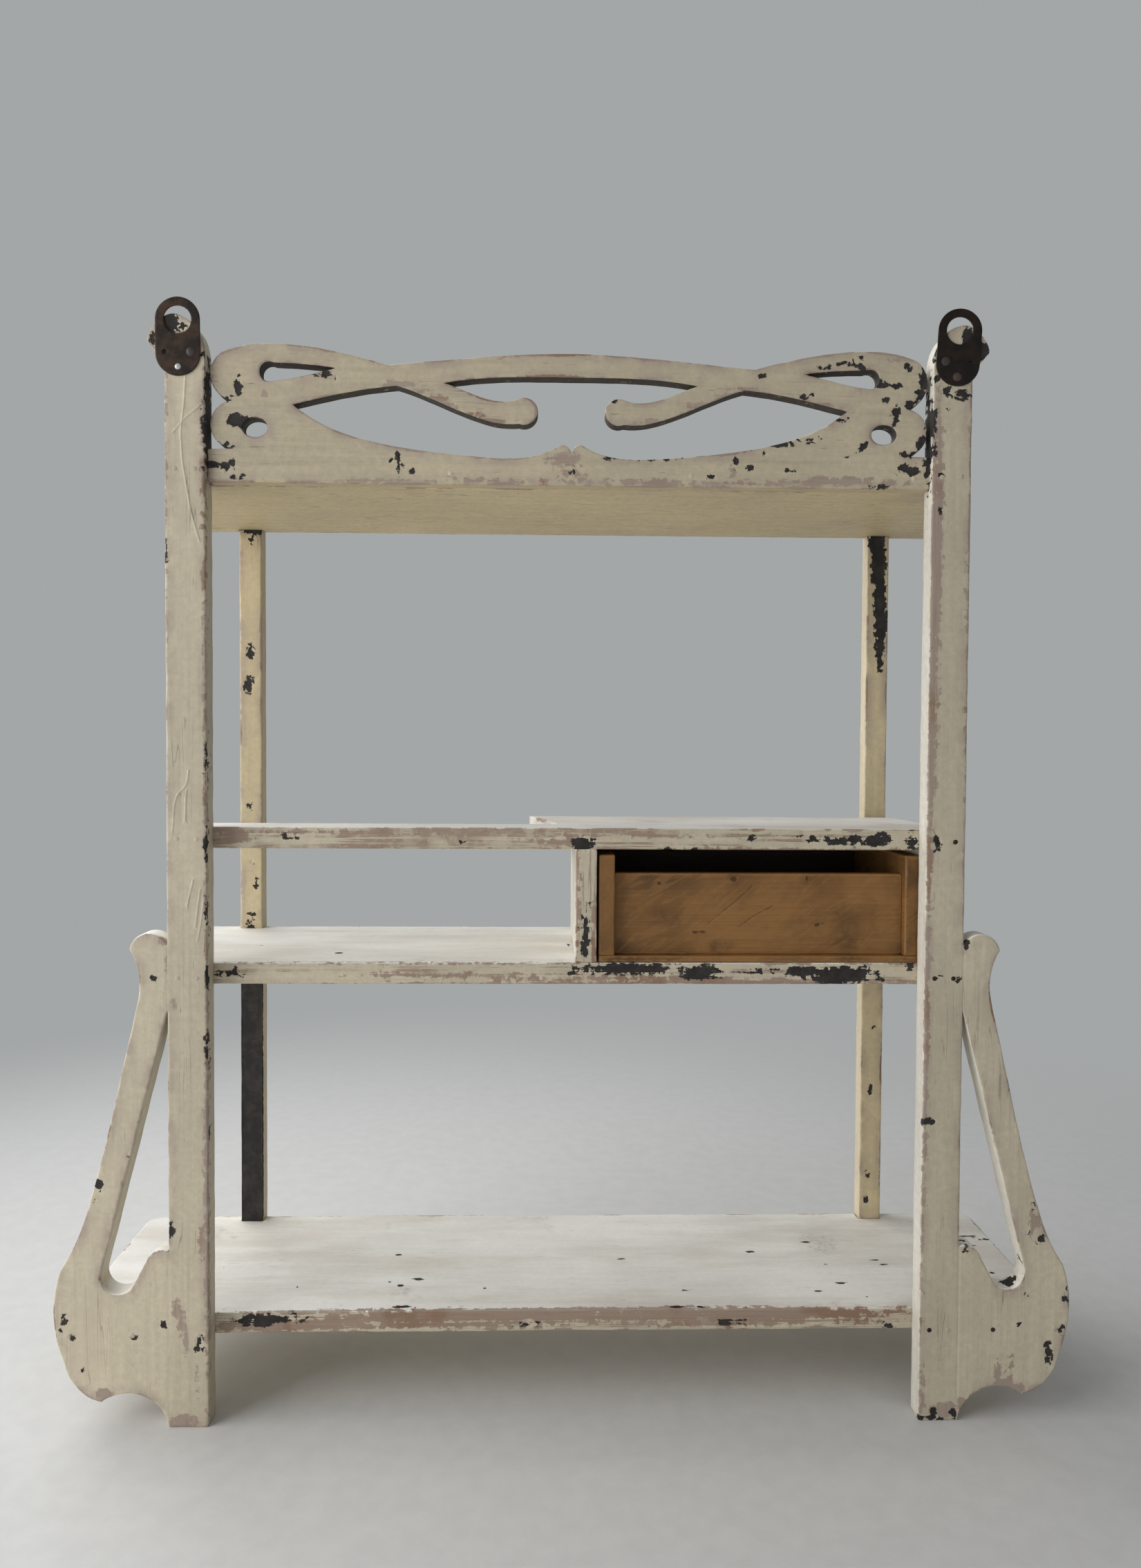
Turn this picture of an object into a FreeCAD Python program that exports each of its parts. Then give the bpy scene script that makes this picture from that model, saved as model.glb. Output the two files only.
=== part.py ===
import FreeCAD
import Part
import math
import os

# Wall shelf: two flat posts with scrolled wings and a pierced crest carry four boards.
# A drawer runs under the half shelf. X is the width, Y runs from the wall into the room, Z is up.
# The origin lies midway between the two hanging eyes, on the plane of the posts' wall faces.

# Sizes in millimetres.
SIZES = {
    "inner_width": 547.0,        # clear width between the posts
    "post_width": 30.0,
    "post_depth": 18.0,          # posts and wings, front to back
    "board": 16.5,               # thickness of shelves, divider and end panel
    "shelf_depth": 177.0,        # back edge to front edge of a full shelf
    "foot_height": 63.3,         # floor under the posts' feet to the lowest shelf
    "lower_bay": 257.5,          # clear height between bottom and middle shelf
    "drawer_bay": 88.7,          # clear height between middle and half shelf
    "upper_bay": 260.4,          # clear height between half and top shelf
    "crest_height": 103.6,
    "crest_thickness": 12.5,
    "crest_shoulder": 14.6,      # post head starts this far under the crest's highest point
    "finial_height": 33.6,
    "wing_width": 87.5,
    "wing_height": 379.7,
    "shelf_flare": 42.0,         # front corners of top and middle shelf beyond the posts
    "flare_corner": 6.0,
    "bottom_overhang": 82.5,     # ends of the bottom shelf beyond the posts
    "bottom_corner": 14.0,
    "front_post_width": 20.0,
    "front_post_depth": 17.0,
    "front_post_let_in": 11.0,   # front posts stand this deep in the notched shelf edges
    "front_post_offset": 0.9,    # centre line outwards of the back post's
    "half_shelf_setback": 20.0,  # half shelf's front edge behind the full shelves'
    "end_panel_inset": 5.0,      # end panel's face past the posts' inner edge
    "rail_depth": 47.0,          # narrow left half of the half shelf
    "half_shelf_end": 9.0,       # half shelf past the centre line at the rail
    "half_shelf_flare": 24.0,
    "divider_offset": 5.5,
    "drawer_gap": 1.7,           # play at each side of the drawer
    "drawer_lift": 0.3,
    "drawer_headroom": 4.5,
    "drawer_setback": 2.0,
    "drawer_side": 12.5,
    "drawer_floor": 5.0,
    "drawer_back": 10.0,
    "drawer_back_inset": 8.0,
    "drawer_back_drop": 15.0,    # top of the drawer's back below its sides
    "drawer_front": 14.0,
    "drawer_lap": 7.0,           # sides lapped into the drawer front
    "drawer_front_gap": 0.9,
    "knob_diameter": 22.0,
    "knob_length": 18.5,
    "hanger_width": 33.2,
    "hanger_length": 58.0,
    "hanger_thickness": 2.0,
    "eye_diameter": 20.4,
    "eye_drop": 4.8,             # eye's centre below the top of the post
    "eye_offset": 4.6,           # eye's centre outwards of the post's centre line
    "hanger_hole": 3.4,
    "hanger_hole_spread": 9.6,
    "hanger_hole_drop": 23.8,
    "hanger_low_hole_drop": 34.8,
    "left_hanger_tilt": 0.6,     # degrees, top leaning outwards
    "right_hanger_tilt": 3.4,
}

SIDES = {"left": -1, "right": 1}

# Positions built from the sizes; heights are above the posts' feet.
INNER = "(Sizes.inner_width / 2)"
OUTER = f"({INNER} + Sizes.post_width)"
POST_CENTRE = f"({INNER} + Sizes.post_width / 2)"
EYE_X = f"({POST_CENTRE} + Sizes.eye_offset)"
BAY_LEFT = "(Sizes.divider_offset + Sizes.board)"
BAY_RIGHT = f"({INNER} + Sizes.end_panel_inset)"
HALF_DEPTH = "(Sizes.shelf_depth - Sizes.half_shelf_setback)"
HALF_FRONT = f"(Sizes.post_depth + {HALF_DEPTH})"
FRONT_POST_X = f"({POST_CENTRE} + Sizes.front_post_offset)"
NOTCH_Y = "(Sizes.shelf_depth - Sizes.front_post_let_in)"
BOTTOM_TOP = "(Sizes.foot_height + Sizes.board)"
MIDDLE_UNDER = f"({BOTTOM_TOP} + Sizes.lower_bay)"
MIDDLE_TOP = f"({MIDDLE_UNDER} + Sizes.board)"
HALF_UNDER = f"({MIDDLE_TOP} + Sizes.drawer_bay)"
HALF_TOP = f"({HALF_UNDER} + Sizes.board)"
TOP_UNDER = f"({HALF_TOP} + Sizes.upper_bay)"
TOP_TOP = f"({TOP_UNDER} + Sizes.board)"
FINIAL_BASE = f"({TOP_UNDER} + Sizes.crest_height - Sizes.crest_shoulder)"
EYE_HEIGHT = f"({FINIAL_BASE} + Sizes.finial_height - Sizes.eye_drop)"
DRAWER_LEFT = f"({BAY_LEFT} + Sizes.drawer_gap)"
DRAWER_WIDTH = f"({BAY_RIGHT} - {BAY_LEFT} - 2 * Sizes.drawer_gap)"
DRAWER_REAR = "(Sizes.post_depth + Sizes.drawer_setback)"
DRAWER_LENGTH = f"({HALF_FRONT} - {DRAWER_REAR} - Sizes.drawer_front + Sizes.drawer_lap)"
DRAWER_FLOOR_Z = f"({MIDDLE_TOP} + Sizes.drawer_lift)"
DRAWER_SIDE_Z = f"({DRAWER_FLOOR_Z} + Sizes.drawer_floor)"
DRAWER_SIDE_HEIGHT = (
    "(Sizes.drawer_bay - Sizes.drawer_lift - Sizes.drawer_floor - Sizes.drawer_headroom)"
)
FRONT_INNER_Y = f"({HALF_FRONT} - Sizes.drawer_front)"
LAP_Y = f"({FRONT_INNER_Y} + Sizes.drawer_lap)"

# Half of the crest as drawn, from its centre line and its lower edge.
CREST_DRAWN_HALF = 273.5
CREST_DRAWN_HEIGHT = 103.6
BAND_TOP = (273.5, 24.6)
LOW_NOTCH = (254.5, 25.1)
LOW_LOBE = (271.2, 44.0)
HIGH_NOTCH = (255.0, 60.8)
HIGH_LOBE = (271.2, 81.0)
LOBE_END = (263.0, 96.6)
SHOULDER = [LOBE_END, (244.0, 102.3), (222.0, 103.6), (180.5, 99.0), (138.3, 88.9)]
ARCH_TOP = [(138.3, 88.9), (52.7, 96.7), (0.0, 98.9)]
EYE_TOP = (223.8, 89.1)
EYE_END = (234.0, 81.8)
EYE_LOW = (225.0, 75.6)
EYE_TIP = (178.0, 85.8)
EYE_LOWER = [EYE_LOW, (208.5, 78.2), (192.0, 82.2), EYE_TIP]
EYE_UPPER = [EYE_TIP, (203.8, 88.4), EYE_TOP]
OVAL_CENTRE = (238.0, 41.0)
OVAL_RADII = (9.5, 7.2)
SLIT_TIP = (95.3, 75.7)
SLIT_TOP = [SLIT_TIP, (68.0, 79.3), (0.0, 80.8)]
TAIL_KNOB_TOP = (39.5, 65.0)
TAIL_KNOB_END = (25.4, 55.6)
TAIL_KNOB_LOW = (39.5, 45.8)
TAIL_UPPER = [TAIL_KNOB_TOP, (55.7, 62.8), (74.0, 67.6), SLIT_TIP]
SCROLL_TIP = (209.4, 58.1)
SCROLL_PEAK = (131.7, 73.0)
TAIL_LOWER = [TAIL_KNOB_LOW, (50.0, 45.4), (71.2, 50.0), (100.4, 61.4), SCROLL_PEAK]
SCROLL_UPPER = [SCROLL_PEAK, (160.0, 69.2), (185.0, 64.0), SCROLL_TIP]
BUMP = (7.8, 30.8)
BUMP_SIDE = (2.0, 28.4)
BUMP_NOTCH = (0.0, 23.0)
BASKET = [SCROLL_TIP, (187.5, 44.1), (136.7, 28.7), (76.4, 21.6), (32.0, 21.5), (18.0, 25.4), BUMP]

# Wing as drawn, from the post's outer edge and the feet.
WING_DRAWN_WIDTH = 87.5
WING_DRAWN_HEIGHT = 379.7
WING_TOP = (0.0, 370.5)
WING_BROW = (14.5, 379.6)
WING_NOSE = (28.3, 367.0)
WING_CORNER = (82.2, 122.0)
WING_CHIN = [WING_NOSE, (22.6, 354.0), (21.0, 341.0), (25.5, 313.3)]
WING_SWEEP = WING_CHIN + [(42.7, 237.8), (61.2, 167.9), (70.2, 143.0), WING_CORNER]
WING_LOBE = [WING_CORNER, (87.4, 90.0), (82.4, 58.0), (70.0, 31.0), (51.6, 20.0)]
WING_SCOOP = (33.0, 26.5)
WING_HUMP_START = (0.0, 136.8)
WING_HUMP = (9.0, 136.9)
WING_HUMP_END = (16.9, 129.0)
WING_BOWL_START = (26.6, 110.5)
WING_BOWL = (37.5, 103.3)
WING_BOWL_END = (51.0, 120.4)
WING_OPENING_TIP = (0.0, 320.8)

# Head of a post as drawn, from its inner edge and its base.
FINIAL_DRAWN_WIDTH = 30.0
FINIAL_DRAWN_HEIGHT = 33.6
FINIAL_SHOULDER_DROP = 2.4
FINIAL_HEAD = [(0.0, 0.0), (0.4, 8.0), (5.2, 22.5), (13.4, 30.4), (23.5, 33.6), (36.0, 27.0), (42.2, 16.2)]
FINIAL_NOSE = (42.6, 13.6)
FINIAL_NOSE_END = (41.0, 11.4)

# Curve of a flared board end: share of the depth and of the flare at its middle.
FLARE_MID_DEPTH = 0.45
FLARE_MID_REACH = 0.40

# Knob profile from its foot to its crown: shares of its radius and length.
KNOB_PROFILE = [
    (0.0, 0.0),
    (0.60, 0.0),
    (0.45, 0.13),
    (0.42, 0.26),
    (0.60, 0.38),
    (0.86, 0.48),
    (1.0, 0.64),
    (0.94, 0.82),
    (0.68, 0.95),
    (0.34, 1.0),
    (0.0, 1.0),
]

# Diagonal cut of a quarter-round corner as a share of its radius.
CORNER_CUT = 1 - math.sqrt(0.5)

document = FreeCAD.newDocument("wall_shelf")
sheet = document.addObject("Spreadsheet::Sheet", "Sizes")
for row, (alias, number) in enumerate(SIZES.items(), start=1):
    sheet.set(f"A{row}", alias)
    sheet.set(f"B{row}", str(number))
    sheet.setAlias(f"B{row}", alias)
document.recompute()

nodes = []


def size(expression):
    """Value of an expression in the sheet's sizes."""
    return float(sheet.evalExpression(expression))


def vector(point):
    """A sketch point as a vector."""
    return FreeCAD.Vector(point[0], point[1], 0)


def line(start, end):
    """Straight stretch of an outline."""
    return Part.LineSegment(vector(start), vector(end))


def arc(start, through, end):
    """Round stretch of an outline through three points."""
    return Part.ArcOfCircle(vector(start), vector(through), vector(end))


def curve(points):
    """Smooth stretch of an outline through its points."""
    spline = Part.BSplineCurve()
    spline.interpolate([vector(point) for point in points])
    return spline


def polyline(points):
    """Straight stretches from each point to the next."""
    return [line(start, end) for start, end in zip(points, points[1:])]


def place(item, x, y, z):
    """Bind a position; z is given above the feet."""
    item.setExpression("Placement.Base.x", x)
    item.setExpression("Placement.Base.y", y)
    item.setExpression("Placement.Base.z", f"{z} - {EYE_HEIGHT}")


def node(item, label):
    """Give a finished piece its name and list it."""
    item.Label = label
    nodes.append(item)
    return item


def new_body(name):
    """Empty body for one piece."""
    return document.addObject("PartDesign::Body", name)


def new_sketch(body, plane, outline):
    """Sketch on one of the body's own planes with the given outline."""
    sketch = body.newObject("Sketcher::SketchObject", f"{body.Name}_outline")
    support = next(part for part in body.Origin.OriginFeatures if part.Role == plane)
    sketch.AttachmentSupport = [(support, "")]
    sketch.MapMode = "FlatFace"
    sketch.addGeometry(outline, False)
    return sketch


def padded(name, plane, outline, thickness, reverse=False):
    """Body of one outline carried through a bound thickness."""
    body = new_body(name)
    pad = body.newObject("PartDesign::Pad", f"{name}_pad")
    pad.Profile = new_sketch(body, plane, outline)
    pad.setExpression("Length", thickness)
    pad.Reversed = reverse
    return node(body, name)


def box(name, length, width, height):
    """Rectangular piece with bound sides."""
    block = document.addObject("Part::Box", name)
    block.setExpression("Length", length)
    block.setExpression("Width", width)
    block.setExpression("Height", height)
    return block


def mirrored(points):
    """Points on the other side of the centre line, in reverse order."""
    return [(-x, y) for x, y in reversed(points)]


def post_outline(side):
    """Flat post with its domed and pointed head."""
    inner = size(INNER)
    outer = size(OUTER)
    base = size(FINIAL_BASE)
    across = size("Sizes.post_width") / FINIAL_DRAWN_WIDTH
    upward = size("Sizes.finial_height") / FINIAL_DRAWN_HEIGHT

    def head(point):
        return (side * (inner + point[0] * across), base + point[1] * upward)

    top = [head(point) for point in FINIAL_HEAD]
    foot_inner = (side * inner, 0.0)
    foot_outer = (side * outer, 0.0)
    shoulder = (side * outer, base - FINIAL_SHOULDER_DROP * upward)
    nose_end = head(FINIAL_NOSE_END)
    outline = polyline([nose_end, shoulder, foot_outer, foot_inner, top[0]])
    outline.append(curve(top))
    outline.append(arc(top[-1], head(FINIAL_NOSE), nose_end))
    return outline


def wing_outline(side):
    """Scrolled wing; the post's outer edge closes its tear-shaped opening."""
    outer = size(OUTER)
    across = size("Sizes.wing_width") / WING_DRAWN_WIDTH
    upward = size("Sizes.wing_height") / WING_DRAWN_HEIGHT

    def at(point):
        return (side * (outer + point[0] * across), point[1] * upward)

    foot = at((0.0, 0.0))
    outline = [
        arc(at(WING_TOP), at(WING_BROW), at(WING_NOSE)),
        curve([at(point) for point in WING_SWEEP]),
        curve([at(point) for point in WING_LOBE]),
        arc(at(WING_LOBE[-1]), at(WING_SCOOP), foot),
        line(foot, at(WING_HUMP_START)),
        arc(at(WING_HUMP_START), at(WING_HUMP), at(WING_HUMP_END)),
        line(at(WING_HUMP_END), at(WING_BOWL_START)),
        arc(at(WING_BOWL_START), at(WING_BOWL), at(WING_BOWL_END)),
        line(at(WING_BOWL_END), at(WING_OPENING_TIP)),
        line(at(WING_OPENING_TIP), at(WING_TOP)),
    ]
    return outline


def crest_outline():
    """Pierced crest: lobed outer edge, two eyes, two ovals and one wide scrolled opening."""
    across = size(INNER) / CREST_DRAWN_HALF
    upward = size("Sizes.crest_height") / CREST_DRAWN_HEIGHT

    def at(point, side=1):
        return (side * point[0] * across, point[1] * upward)

    def across_centre(points):
        half = [at(point) for point in points]
        return curve(half + mirrored(half[:-1]))

    foot = size(INNER)
    outline = [
        line((-foot, 0.0), (foot, 0.0)),
        across_centre(ARCH_TOP),
        across_centre(SLIT_TOP),
    ]
    for side in SIDES.values():

        def point_at(point, side=side):
            return at(point, side)

        def arc_at(start, through, end):
            return arc(point_at(start), point_at(through), point_at(end))

        def curve_at(points):
            return curve([point_at(point) for point in points])

        outline.append(line((side * foot, 0.0), point_at(BAND_TOP)))
        outline.append(line(point_at(BAND_TOP), point_at(LOW_NOTCH)))
        outline.append(arc_at(LOW_NOTCH, LOW_LOBE, HIGH_NOTCH))
        outline.append(arc_at(HIGH_NOTCH, HIGH_LOBE, LOBE_END))
        outline.append(curve_at(SHOULDER))
        outline.append(arc_at(EYE_TOP, EYE_END, EYE_LOW))
        outline.append(curve_at(EYE_LOWER))
        outline.append(curve_at(EYE_UPPER))
        outline.append(curve_at(TAIL_UPPER))
        outline.append(arc_at(TAIL_KNOB_TOP, TAIL_KNOB_END, TAIL_KNOB_LOW))
        outline.append(curve_at(TAIL_LOWER))
        outline.append(curve_at(SCROLL_UPPER))
        outline.append(curve_at(BASKET))
        outline.append(arc_at(BUMP, BUMP_SIDE, BUMP_NOTCH))
        outline.append(oval(point_at(OVAL_CENTRE), OVAL_RADII[0] * across, OVAL_RADII[1] * upward))
    return outline


def oval(centre, reach, rise):
    """Oval opening, longer across than high or the other way round."""
    along = FreeCAD.Vector(reach, 0, 0)
    beside = FreeCAD.Vector(0, rise, 0)
    middle = vector(centre)
    if reach < rise:
        along, beside = beside, along
    return Part.Ellipse(middle + along, middle + beside, middle)


def notched_front(end, depth):
    """Straight front edge between two corners, with a notch for each front post."""
    near = size(f"{FRONT_POST_X} - Sizes.front_post_width / 2")
    far = size(f"{FRONT_POST_X} + Sizes.front_post_width / 2")
    floor = size(NOTCH_Y)
    half = [(near, depth), (near, floor), (far, floor), (far, depth), (end, depth)]
    return polyline(mirrored(half) + half)


def flared_outline():
    """Full shelf whose ends sweep outwards to the front."""
    outer = size(OUTER)
    depth = size("Sizes.shelf_depth")
    flare = size("Sizes.shelf_flare")
    corner = size("Sizes.flare_corner")
    soft = corner * CORNER_CUT
    middle = (outer + flare * FLARE_MID_REACH, depth * FLARE_MID_DEPTH)
    front = outer + flare
    outline = notched_front(front - corner, depth)
    outline.append(line((-outer, 0.0), (outer, 0.0)))
    for side in SIDES.values():
        end = (side * front, depth - corner)
        start = (side * (front - corner), depth)
        outline.append(arc((side * outer, 0.0), (side * middle[0], middle[1]), end))
        outline.append(arc(end, (side * (front - soft), depth - soft), start))
    return outline


def bottom_outline():
    """Widest shelf with square ends and rounded front corners."""
    end = size(f"{OUTER} + Sizes.bottom_overhang")
    depth = size("Sizes.shelf_depth")
    corner = size("Sizes.bottom_corner")
    soft = corner * CORNER_CUT
    outline = polyline([(-end, depth - corner), (-end, 0.0), (end, 0.0), (end, depth - corner)])
    outline.extend(notched_front(end - corner, depth))
    for side in SIDES.values():
        begin = (side * end, depth - corner)
        finish = (side * (end - corner), depth)
        outline.append(arc(begin, (side * (end - soft), depth - soft), finish))
    return outline


def half_outline():
    """Half shelf over the drawer with the narrow rail that runs on to the left post."""
    outer = size(OUTER)
    depth = size(HALF_DEPTH)
    rail = size("Sizes.rail_depth")
    start = -size("Sizes.half_shelf_end")
    flare = size("Sizes.half_shelf_flare")
    rear = (start, rail)
    middle = (start - flare * FLARE_MID_REACH, rail + (depth - rail) * FLARE_MID_DEPTH)
    front = (start - flare, depth)
    outline = polyline([rear, (-outer, rail), (-outer, 0.0), (outer, 0.0), (outer, depth), front])
    outline.append(arc(front, middle, rear))
    return outline


def leaning(point, word):
    """Point of a hanger plate after its tilt about the eye, which is at zero."""
    tilt = math.radians(size(f"Sizes.{word}_hanger_tilt")) * SIDES[word]
    x, z = point
    return (x * math.cos(tilt) + z * math.sin(tilt), z * math.cos(tilt) - x * math.sin(tilt))


def hanger_holes(word):
    """Nail holes of a plate: inner, low and outer."""
    spread = SIDES[word] * size("Sizes.hanger_hole_spread")
    drop = size("Sizes.hanger_hole_drop")
    holes = [(-spread, -drop), (0.0, -size("Sizes.hanger_low_hole_drop")), (spread, -drop)]
    return [leaning(hole, word) for hole in holes]


def hanger_outline(word):
    """Round-ended plate with the hanging eye and three nail holes."""
    half = size("Sizes.hanger_width / 2")
    low = size("Sizes.hanger_width - Sizes.hanger_length")
    normal = FreeCAD.Vector(0, 0, 1)

    def at(x, z):
        return leaning((x, z), word)

    outline = [
        arc(at(half, 0.0), at(0.0, half), at(-half, 0.0)),
        line(at(-half, 0.0), at(-half, low)),
        arc(at(-half, low), at(0.0, low - half), at(half, low)),
        line(at(half, low), at(half, 0.0)),
        Part.Circle(FreeCAD.Vector(0, 0, 0), normal, size("Sizes.eye_diameter / 2")),
    ]
    for hole in hanger_holes(word):
        outline.append(Part.Circle(vector(hole), normal, size("Sizes.hanger_hole / 2")))
    return outline


def knob_body():
    """Turned knob of the drawer."""
    radius = size("Sizes.knob_diameter / 2")
    length = size("Sizes.knob_length")
    corners = [(across * radius, along * length) for across, along in KNOB_PROFILE]
    outline = polyline(corners + corners[:1])
    body = new_body("drawer_knob")
    sketch = new_sketch(body, "XY_Plane", outline)
    turning = body.newObject("PartDesign::Revolution", "drawer_knob_turning")
    turning.Profile = sketch
    turning.ReferenceAxis = (sketch, ["V_Axis"])
    turning.Angle = 360
    return node(body, "drawer_knob")


# Posts, wings and hanger plates
for word, side in SIDES.items():
    post = padded(f"{word}_post", "XZ_Plane", post_outline(side), "Sizes.post_depth", reverse=True)
    place(post, "0", "0", "0")
    wing = padded(f"{word}_wing", "XZ_Plane", wing_outline(side), "Sizes.post_depth", reverse=True)
    place(wing, "0", "0", "0")
    plate = padded(f"hanger_plate_{word}", "XZ_Plane", hanger_outline(word), "Sizes.hanger_thickness")
    place(plate, f"{side} * {EYE_X}", "0", EYE_HEIGHT)

crest = padded("crest", "XZ_Plane", crest_outline(), "Sizes.crest_thickness", reverse=True)
place(crest, "0", "Sizes.post_depth - Sizes.crest_thickness", TOP_UNDER)

# Shelves
top_shelf = padded("top_shelf", "XY_Plane", flared_outline(), "Sizes.board")
place(top_shelf, "0", "Sizes.post_depth", TOP_UNDER)
half_shelf = padded("half_shelf", "XY_Plane", half_outline(), "Sizes.board")
place(half_shelf, "0", "Sizes.post_depth", HALF_UNDER)
middle_shelf = padded("middle_shelf", "XY_Plane", flared_outline(), "Sizes.board")
place(middle_shelf, "0", "Sizes.post_depth", MIDDLE_UNDER)
bottom_shelf = padded("bottom_shelf", "XY_Plane", bottom_outline(), "Sizes.board")
place(bottom_shelf, "0", "Sizes.post_depth", "Sizes.foot_height")

# Uprights
divider = node(box("divider", "Sizes.board", HALF_DEPTH, "Sizes.drawer_bay"), "divider")
place(divider, "Sizes.divider_offset", "Sizes.post_depth", MIDDLE_TOP)
end_panel = node(box("end_panel", "Sizes.board", HALF_DEPTH, "Sizes.drawer_bay"), "end_panel")
place(end_panel, BAY_RIGHT, "Sizes.post_depth", MIDDLE_TOP)
for word, side in SIDES.items():
    front_post = box(
        f"front_post_{word}",
        "Sizes.front_post_width",
        "Sizes.front_post_depth",
        f"{TOP_TOP} - Sizes.foot_height",
    )
    left_face = f"{side} * {FRONT_POST_X} - Sizes.front_post_width / 2"
    node(front_post, f"front_post_{word}")
    place(front_post, left_face, f"Sizes.post_depth + {NOTCH_Y}", "Sizes.foot_height")

# Drawer
inside_left = f"({DRAWER_LEFT} + Sizes.drawer_side)"
inside_width = f"({DRAWER_WIDTH} - 2 * Sizes.drawer_side)"
side_faces = {"left": DRAWER_LEFT, "right": f"{inside_left} + {inside_width}"}
for word, face_x in side_faces.items():
    side_board = box(f"drawer_{word}_side", "Sizes.drawer_side", DRAWER_LENGTH, DRAWER_SIDE_HEIGHT)
    node(side_board, f"drawer_{word}_side")
    place(side_board, face_x, DRAWER_REAR, DRAWER_SIDE_Z)
floor = node(box("drawer_bottom", DRAWER_WIDTH, DRAWER_LENGTH, "Sizes.drawer_floor"), "drawer_bottom")
place(floor, DRAWER_LEFT, DRAWER_REAR, DRAWER_FLOOR_Z)
back_height = f"({DRAWER_SIDE_HEIGHT} - Sizes.drawer_back_drop)"
back = node(box("drawer_back", inside_width, "Sizes.drawer_back", back_height), "drawer_back")
place(back, inside_left, f"{DRAWER_REAR} + Sizes.drawer_back_inset", DRAWER_SIDE_Z)
face_width = f"({BAY_RIGHT} - {BAY_LEFT} - 2 * Sizes.drawer_front_gap)"
face_height = "(Sizes.drawer_bay - 2 * Sizes.drawer_front_gap)"
face = box("drawer_face", face_width, "Sizes.drawer_front - Sizes.drawer_lap", face_height)
place(face, f"{BAY_LEFT} + Sizes.drawer_front_gap", LAP_Y, f"{MIDDLE_TOP} + Sizes.drawer_front_gap")
tongue = box("drawer_tongue", inside_width, "Sizes.drawer_lap", DRAWER_SIDE_HEIGHT)
place(tongue, inside_left, FRONT_INNER_Y, DRAWER_SIDE_Z)
front = document.addObject("Part::Fuse", "drawer_front")
front.Base = face
front.Tool = tongue
node(front, "drawer_front")
knob = knob_body()
place(knob, f"({BAY_LEFT} + {BAY_RIGHT}) / 2", HALF_FRONT, f"{MIDDLE_TOP} + Sizes.drawer_bay / 2")

document.recompute()
for item in document.Objects:
    if "Invalid" in item.State or "Error" in item.State:
        raise RuntimeError(f"{item.Label} is not built")
os.makedirs("parts", exist_ok=True)
for item in nodes:
    if item.Shape.isNull() or not item.Shape.isValid():
        raise RuntimeError(f"{item.Label} has no valid shape")
    item.Shape.exportStep(f"parts/{item.Label}.step")
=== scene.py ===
import functools
import math
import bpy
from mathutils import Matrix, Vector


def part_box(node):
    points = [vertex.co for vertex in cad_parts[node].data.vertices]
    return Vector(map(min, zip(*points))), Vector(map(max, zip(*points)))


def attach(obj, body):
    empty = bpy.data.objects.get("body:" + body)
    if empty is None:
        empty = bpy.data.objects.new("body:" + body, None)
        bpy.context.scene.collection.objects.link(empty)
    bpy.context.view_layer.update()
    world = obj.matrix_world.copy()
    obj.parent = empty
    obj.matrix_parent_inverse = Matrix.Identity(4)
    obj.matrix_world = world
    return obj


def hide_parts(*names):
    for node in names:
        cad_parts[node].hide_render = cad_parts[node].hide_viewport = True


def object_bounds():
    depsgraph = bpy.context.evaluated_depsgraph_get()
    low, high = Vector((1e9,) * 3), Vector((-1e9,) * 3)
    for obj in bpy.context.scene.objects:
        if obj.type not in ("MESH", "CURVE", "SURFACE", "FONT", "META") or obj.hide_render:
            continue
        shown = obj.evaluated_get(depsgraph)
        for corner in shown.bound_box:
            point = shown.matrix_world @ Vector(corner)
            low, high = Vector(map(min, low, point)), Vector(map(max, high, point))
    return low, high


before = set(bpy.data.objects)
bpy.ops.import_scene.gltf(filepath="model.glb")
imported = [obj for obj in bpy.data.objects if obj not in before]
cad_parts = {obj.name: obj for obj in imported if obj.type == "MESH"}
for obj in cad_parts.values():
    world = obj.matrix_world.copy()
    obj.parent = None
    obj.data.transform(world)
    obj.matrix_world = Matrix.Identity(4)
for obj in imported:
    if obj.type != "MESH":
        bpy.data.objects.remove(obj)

from types import SimpleNamespace

import bpy
import numpy as np
from bpy.props import FloatProperty, FloatVectorProperty, PointerProperty
from mathutils import Matrix, Vector, geometry

bl_info = {
    "name": "Worn painted wall shelf",
    "version": (1, 0, 0),
    "blender": (4, 5, 0),
    "location": "View3D > Sidebar > Wall Shelf",
    "description": "Worn boards, irons and nails of a hanging wall shelf, with a plain stage",
    "category": "Object",
}

CAD_BOX = [list(corner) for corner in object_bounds()]
X, Y, Z = 0, 1, 2
MM = 0.001
FLOOR_Z = CAD_BOX[0][Z]

SHELVES = ("top_shelf", "half_shelf", "middle_shelf", "bottom_shelf")

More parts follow.
